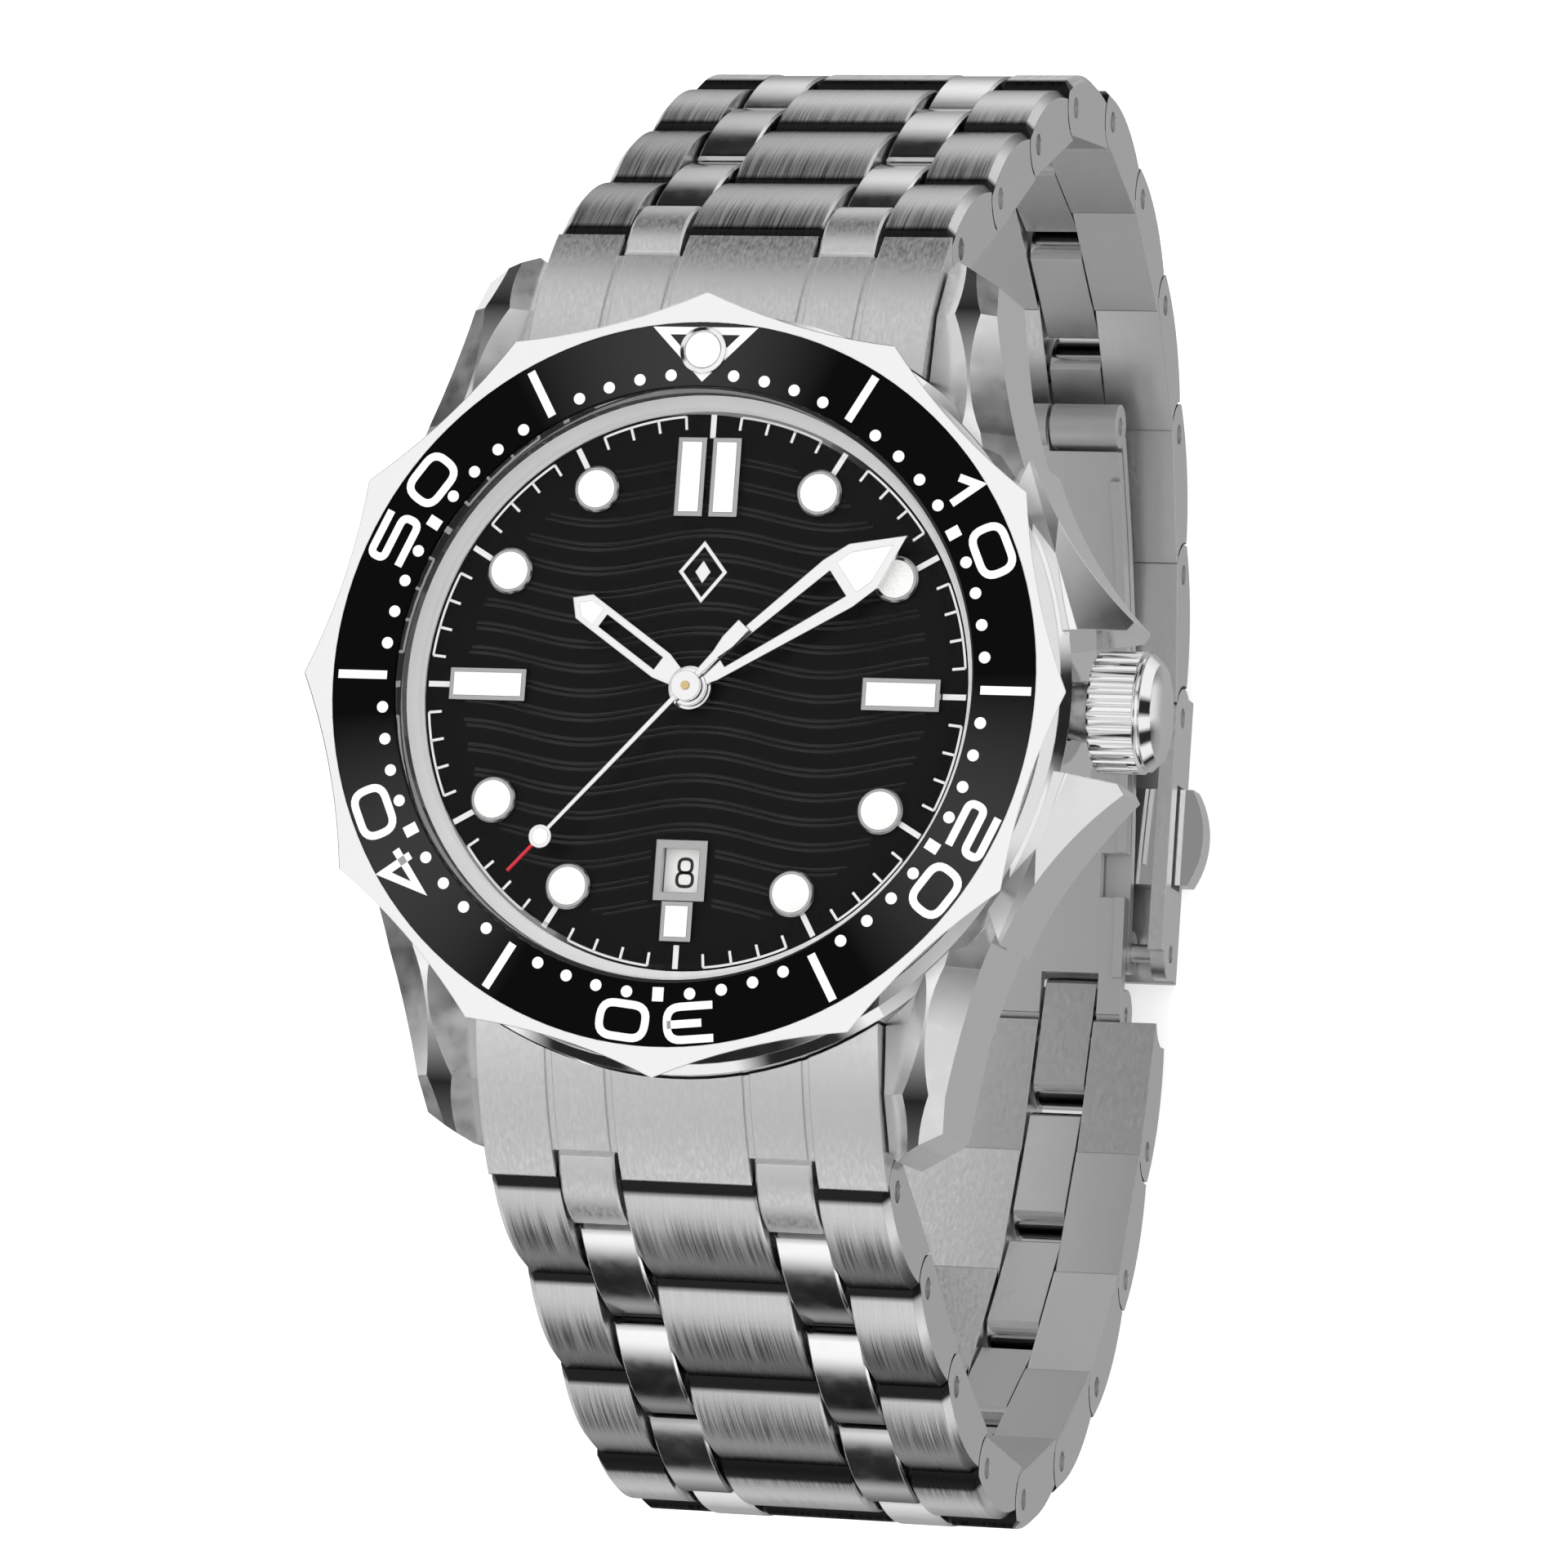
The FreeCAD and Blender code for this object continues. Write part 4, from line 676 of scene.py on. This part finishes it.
def on_clock(radius, minute, across=0.0):
    """A point at a radius on the dial, at a minute, moved clockwise by a distance."""
    angle = math.radians(6 * minute)
    out, side = Vector((math.sin(angle), math.cos(angle))), Vector((math.cos(angle), -math.sin(angle)))
    return tuple(out * radius + side * across)


def bar_at(marks, minute, near, far, width):
    """A bar pointing at a minute, from one radius to another."""
    half = width / 2
    marks.plate([on_clock(near, minute, -half), on_clock(near, minute, half),
                 on_clock(far, minute, half), on_clock(far, minute, -half)])


def soft_path(points, radius, closed=False):
    """The path with each corner turned as an arc-like curve."""
    steps, most_part = 6, 0.45
    count, result = len(points), []
    for n, point in enumerate(points):
        here = Vector(point)
        if not closed and n in (0, count - 1):
            result.append(tuple(here))
            continue
        before, after = Vector(points[n - 1]), Vector(points[(n + 1) % count])
        reach = min(radius, most_part * (before - here).length, most_part * (after - here).length)
        start = here + (before - here).normalized() * reach
        end = here + (after - here).normalized() * reach
        for k in range(steps + 1):
            t = k / steps
            result.append(tuple(start * (1 - t) ** 2 + here * 2 * t * (1 - t) + end * t ** 2))
    return result


# Strokes of the digits in a box one wide and one high: (points, closed)
DIGITS = {
    "0": [([(0, 0), (1, 0), (1, 1), (0, 1)], True)],
    "1": [([(0.25, 0.62), (0.62, 1), (0.62, 0)], False)],
    "2": [([(0.05, 1), (1, 1), (1, 0.52), (0, 0.52), (0, 0), (1, 0)], False)],
    "3": [([(0, 1), (1, 1), (1, 0), (0, 0)], False), ([(0.25, 0.52), (1, 0.52)], False)],
    "4": [([(0.72, 0), (0.72, 1), (0, 0.3), (1, 0.3)], False)],
    "5": [([(1, 1), (0, 1), (0, 0.55), (1, 0.55), (1, 0), (0, 0)], False)],
    "8": [([(0, 0), (1, 0), (1, 0.5), (0, 0.5)], True),
          ([(0.08, 0.5), (0.92, 0.5), (0.92, 1), (0.08, 1)], True)],
}


def draw_digit(marks, digit, place, width, height, stroke, turn):
    """Strokes within a width and a height; place(x, y) puts a point of the centred digit on the surface."""
    for points, closed in DIGITS[digit]:
        sized = [((x - 0.5) * (width - stroke), (y - 0.5) * (height - stroke)) for x, y in points]
        sharp = digit in "14"
        path = sized if sharp else soft_path(sized, turn, closed)
        marks.stroke([place(x, y) for x, y in path], stroke, closed)


def bezel_marks():
    """The sixty-minute scale: dots, bars, the tens in digits and a triangle at the top."""
    sunk, thickness = 0.02, 0.045
    dot_place, dot_radius = 16.35, 0.31
    long_near, long_far, long_wide = 16.15, 18.85, 0.45
    short_near, short_far, short_wide = 15.98, 16.72, 0.6
    digit_place, digit_shift = 17.86, 0.98
    digit_wide, digit_tall, digit_stroke, digit_turn = 2.9, 2.15, 0.42, 0.75
    triangle_half, triangle_top, triangle_tip, triangle_stroke = 2.4, 18.65, 16.23, 0.4
    marks = Marks(INSERT_TOP - sunk, thickness)
    for minute in range(1, 60):
        if minute % 10 == 5:
            bar_at(marks, minute, long_near, long_far, long_wide)
        elif minute % 10 == 0:
            bar_at(marks, minute, short_near, short_far, short_wide)
        else:
            marks.disc(on_clock(dot_place, minute), dot_radius)
    for ten in range(1, 6):
        for digit, side in ((str(ten), -1), ("0", 1)):
            spot = 10 * ten + side * digit_shift
            draw_digit(marks, digit, lambda x, y, at=spot: on_clock(digit_place + y, at, x),
                       digit_wide, digit_tall, digit_stroke, digit_turn)
    triangle = [(-triangle_half, triangle_top), (triangle_half, triangle_top), (0, triangle_tip)]
    marks.stroke(triangle, triangle_stroke, True)
    marks.make("bezel_scale", SCALE, "bezel")


def dial_marks():
    """The minute track: a tick at each minute, a longer one at each hour, and an arc between the hours."""
    outer, tick, long_tick, overlap = 14.65, 0.7, 1.2, 0.05
    tick_wide, long_wide, arc_wide, arc_steps, thickness = 0.14, 0.3, 0.12, 12, 0.02
    marks = Marks(DIAL_TOP, thickness)
    for hour in range(12):
        bar_at(marks, 5 * hour, outer - long_tick, outer + overlap, long_wide)
        arc = [on_clock(outer, 5 * hour + 1 + 3 * k / arc_steps) for k in range(arc_steps + 1)]
        marks.stroke(arc, arc_wide)
        for minute in range(1, 5):
            bar_at(marks, 5 * hour + minute, outer - tick, outer, tick_wide)
    marks.make("minute_track", SCALE, "case")


def dial_waves():
    """Pairs of fine ridges in gentle waves across the dial, ending before the minute track and the date."""
    limit, samples = 12.75, 160
    first_row, last_row, gap, pair_gap = -11.7, 12.0, 1.3, 0.3
    period, crest, rise = 13.0, 0.5, 0.45
    window_half_wide, window_half_tall = 1.6, 1.8
    points, faces = [], []
    row = first_row
    while row < last_row:
        for shift in (0.0, pair_gap):
            path = []
            for k in range(samples + 1):
                x = -limit + 2 * limit * k / samples
                y = row + shift + rise * math.cos(2 * math.pi * (x - crest) / period)
                in_window = abs(x) < window_half_wide and abs(y - DATE_PLACE) < window_half_tall
                if math.hypot(x, y) < limit and not in_window:
                    path.append((x, y))
                elif path:
                    add_ridge(points, faces, path)
                    path = []
            add_ridge(points, faces, path)
        row += gap
    mesh_piece("dial_waves", points, faces, WAVE, "case")


def add_ridge(points, faces, path):
    """A low roof-shaped ridge along a path on the dial."""
    half_wide, height, fewest_points = 0.09, 0.045, 3
    if len(path) < fewest_points:
        return
    first, count = len(points), len(path)
    for lift, side in ((0.0, -half_wide), (height, 0.0), (0.0, half_wide)):
        points += [(x, y + side, DIAL_TOP + lift) for x, y in path]
    for n in range(count - 1):
        for a in (0, 1):
            faces.append([first + a * count + n, first + a * count + n + 1,
                          first + (a + 1) * count + n + 1, first + (a + 1) * count + n])


def emblem():
    """A plain lozenge in a lozenge outline, on the dial above the centre."""
    centre, outline, core, stroke, thickness = 6.3, (1.2, 1.5), (0.42, 0.6), 0.2, 0.06
    marks = Marks(DIAL_TOP, thickness)
    marks.stroke(lozenge(centre, *outline), stroke, True)
    marks.plate(lozenge(centre, *core))
    marks.make("dial_emblem", STEEL, "case")


def lozenge(centre, half_wide, half_tall):
    return [(0, centre - half_tall), (half_wide, centre), (0, centre + half_tall), (-half_wide, centre)]


def date_digit():
    """One numeral in the date window, printed on the date ring."""
    wide, tall, stroke, turn, thickness = 0.85, 1.45, 0.17, 0.36, 0.012
    _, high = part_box("date_ring")
    marks = Marks(high.z / MM, thickness)
    for points, closed in DIGITS["8"]:
        sized = [((x - 0.5) * wide, DATE_PLACE + (y - 0.5) * tall) for x, y in points]
        marks.stroke(soft_path(sized, turn, closed), stroke, closed)
    marks.make("date_numeral", INK, "date_ring")


# ---------------------------------------------------------------- stage, light and camera

def pale_ground():
    """A pale floor under the band, which metal doesn't reflect. Metres."""
    size, level = 3.0, cad_box[0].z
    mesh = bpy.data.meshes.new("floor")
    mesh.from_pydata([(-size, -size, level), (size, -size, level), (size, size, level), (-size, size, level)],
                     [], [(0, 1, 2, 3)])
    mesh.materials.append(pale_floor())
    floor = bpy.data.objects.new("floor", mesh)
    bpy.context.scene.collection.objects.link(floor)
    floor.visible_glossy = False


# The light tent as metal sees it, by height: 0 straight down, 1 straight up
TENT_LEVELS = ((0.0, 0.4), (0.06, 0.45), (0.14, 0.8), (0.3, 1.0), (0.62, 1.0), (0.72, 0.8), (0.85, 0.95),
               (1.0, 1.05))
FLAG_SHARE = ((0.04, 0.0), (0.16, 1.0), (0.9, 1.0), (0.955, 0.0))   # how fully the dark flags show
FLAGS, FLAG_TURN, FLAG_LEAN = 8.0, -1.78, 9.0   # how many there are, and radians they're turned and lean by
EVEN_LIGHT = 1.15


def flag_pattern(tree, split, height):
    """Dark flags hung side by side round the tent, each leaning as it rises."""
    around = add(tree, "ShaderNodeMath", operation="ARCTAN2")
    tree.links.new(split.outputs["Y"], around.inputs[0])
    tree.links.new(split.outputs["X"], around.inputs[1])
    times = add(tree, "ShaderNodeMath", operation="MULTIPLY_ADD")
    times.inputs[1].default_value = FLAGS
    times.inputs[2].default_value = FLAG_TURN
    tree.links.new(around.outputs[0], times.inputs[0])
    lean = add(tree, "ShaderNodeMath", operation="MULTIPLY_ADD")
    lean.inputs[1].default_value = FLAG_LEAN
    tree.links.new(height, lean.inputs[0])
    tree.links.new(times.outputs[0], lean.inputs[2])
    wave = add(tree, "ShaderNodeMath", operation="SINE")
    tree.links.new(lean.outputs[0], wave.inputs[0])
    share = grey_ramp(tree, FLAG_SHARE)
    tree.links.new(height, share.inputs["Fac"])
    mix = add(tree, "ShaderNodeMix", data_type="FLOAT")
    mix.inputs["A"].default_value = 1.0
    tree.links.new(share.outputs["Color"], mix.inputs["Factor"])
    tree.links.new(spread(tree, wave.outputs[0], 0.02, 1.0, -0.5, 0.45), mix.inputs["B"])
    return mix.outputs["Result"]


def light_tent():
    """A world that lights everything evenly, while metal sees bright and dark bands."""
    world = bpy.data.worlds.new("light_tent")
    bpy.context.scene.world = world
    world.use_nodes = True
    tree = world.node_tree
    tree.nodes.clear()
    place = add(tree, "ShaderNodeTexCoord")
    split = add(tree, "ShaderNodeSeparateXYZ")
    tree.links.new(place.outputs["Generated"], split.inputs["Vector"])
    height = spread(tree, split.outputs["Z"], 0.0, 1.0, -1.0, 1.0)
    levels = grey_ramp(tree, TENT_LEVELS)
    tree.links.new(height, levels.inputs["Fac"])
    seen = add(tree, "ShaderNodeVectorMath", operation="SCALE")
    tree.links.new(levels.outputs["Color"], seen.inputs[0])
    tree.links.new(flag_pattern(tree, split, height), seen.inputs["Scale"])

    metal = add(tree, "ShaderNodeBackground")
    tree.links.new(seen.outputs["Vector"], metal.inputs["Color"])
    even_light = add(tree, "ShaderNodeBackground")
    even_light.inputs["Color"].default_value = (1, 1, 1, 1)
    even_light.inputs["Strength"].default_value = EVEN_LIGHT
    rays = add(tree, "ShaderNodeLightPath")
    choose = add(tree, "ShaderNodeMixShader")
    tree.links.new(rays.outputs["Is Glossy Ray"], choose.inputs["Fac"])
    tree.links.new(even_light.outputs["Background"], choose.inputs[1])
    tree.links.new(metal.outputs["Background"], choose.inputs[2])
    out = add(tree, "ShaderNodeOutputWorld")
    tree.links.new(choose.outputs["Shader"], out.inputs["Surface"])


def key_lamp():
    """A soft lamp from beyond 12 o'clock, on the 9 o'clock side. Metres and watts."""
    place, size, power = (-0.16, 0.22, 0.3), 0.25, 0.6
    lamp = bpy.data.lights.new("key", "AREA")
    lamp.energy = power
    lamp.size = size
    lamp.use_shadow = False
    key = bpy.data.objects.new("key", lamp)
    key.location = place
    key.rotation_euler = (-Vector(place)).to_track_quat("-Z", "Y").to_euler()
    key.visible_glossy = False
    bpy.context.scene.collection.objects.link(key)


def camera():
    """A long lens, 16.5 degrees to the 3 o'clock side and 7.8 to the 6 o'clock side, rolled by 4 degrees."""
    swing, tilt, lean = math.radians(16.5), math.radians(-7.8), math.radians(4)
    distance, shift_right, shift_down, sensor, lens = 400, 5.39, 5.28, 36, 176.55
    back = Vector((math.sin(swing) * math.cos(tilt), math.sin(tilt), math.cos(swing) * math.cos(tilt)))
    right = Vector((math.cos(swing), 0, -math.sin(swing)))
    up = back.cross(right)
    side = right * math.cos(lean) + up * math.sin(lean)
    head = back.cross(side)
    spot = (Vector((0, 0, INSERT_TOP)) + back * distance + side * shift_right - head * shift_down) * MM
    data = bpy.data.cameras.new("camera")
    data.sensor_width = sensor
    data.lens = lens
    data.clip_end = 10
    seen = bpy.data.objects.new("camera", data)
    seen.matrix_world = Matrix((
        (side.x, head.x, back.x, spot.x), (side.y, head.y, back.y, spot.y), (side.z, head.z, back.z, spot.z),
        (0, 0, 0, 1)))
    bpy.context.scene.collection.objects.link(seen)
    bpy.context.scene.camera = seen


finish_nodes()
bezel_marks()
dial_marks()
dial_waves()
emblem()
date_digit()
pale_ground()
light_tent()
key_lamp()
camera()
bpy.context.scene.view_settings.view_transform = "Standard"
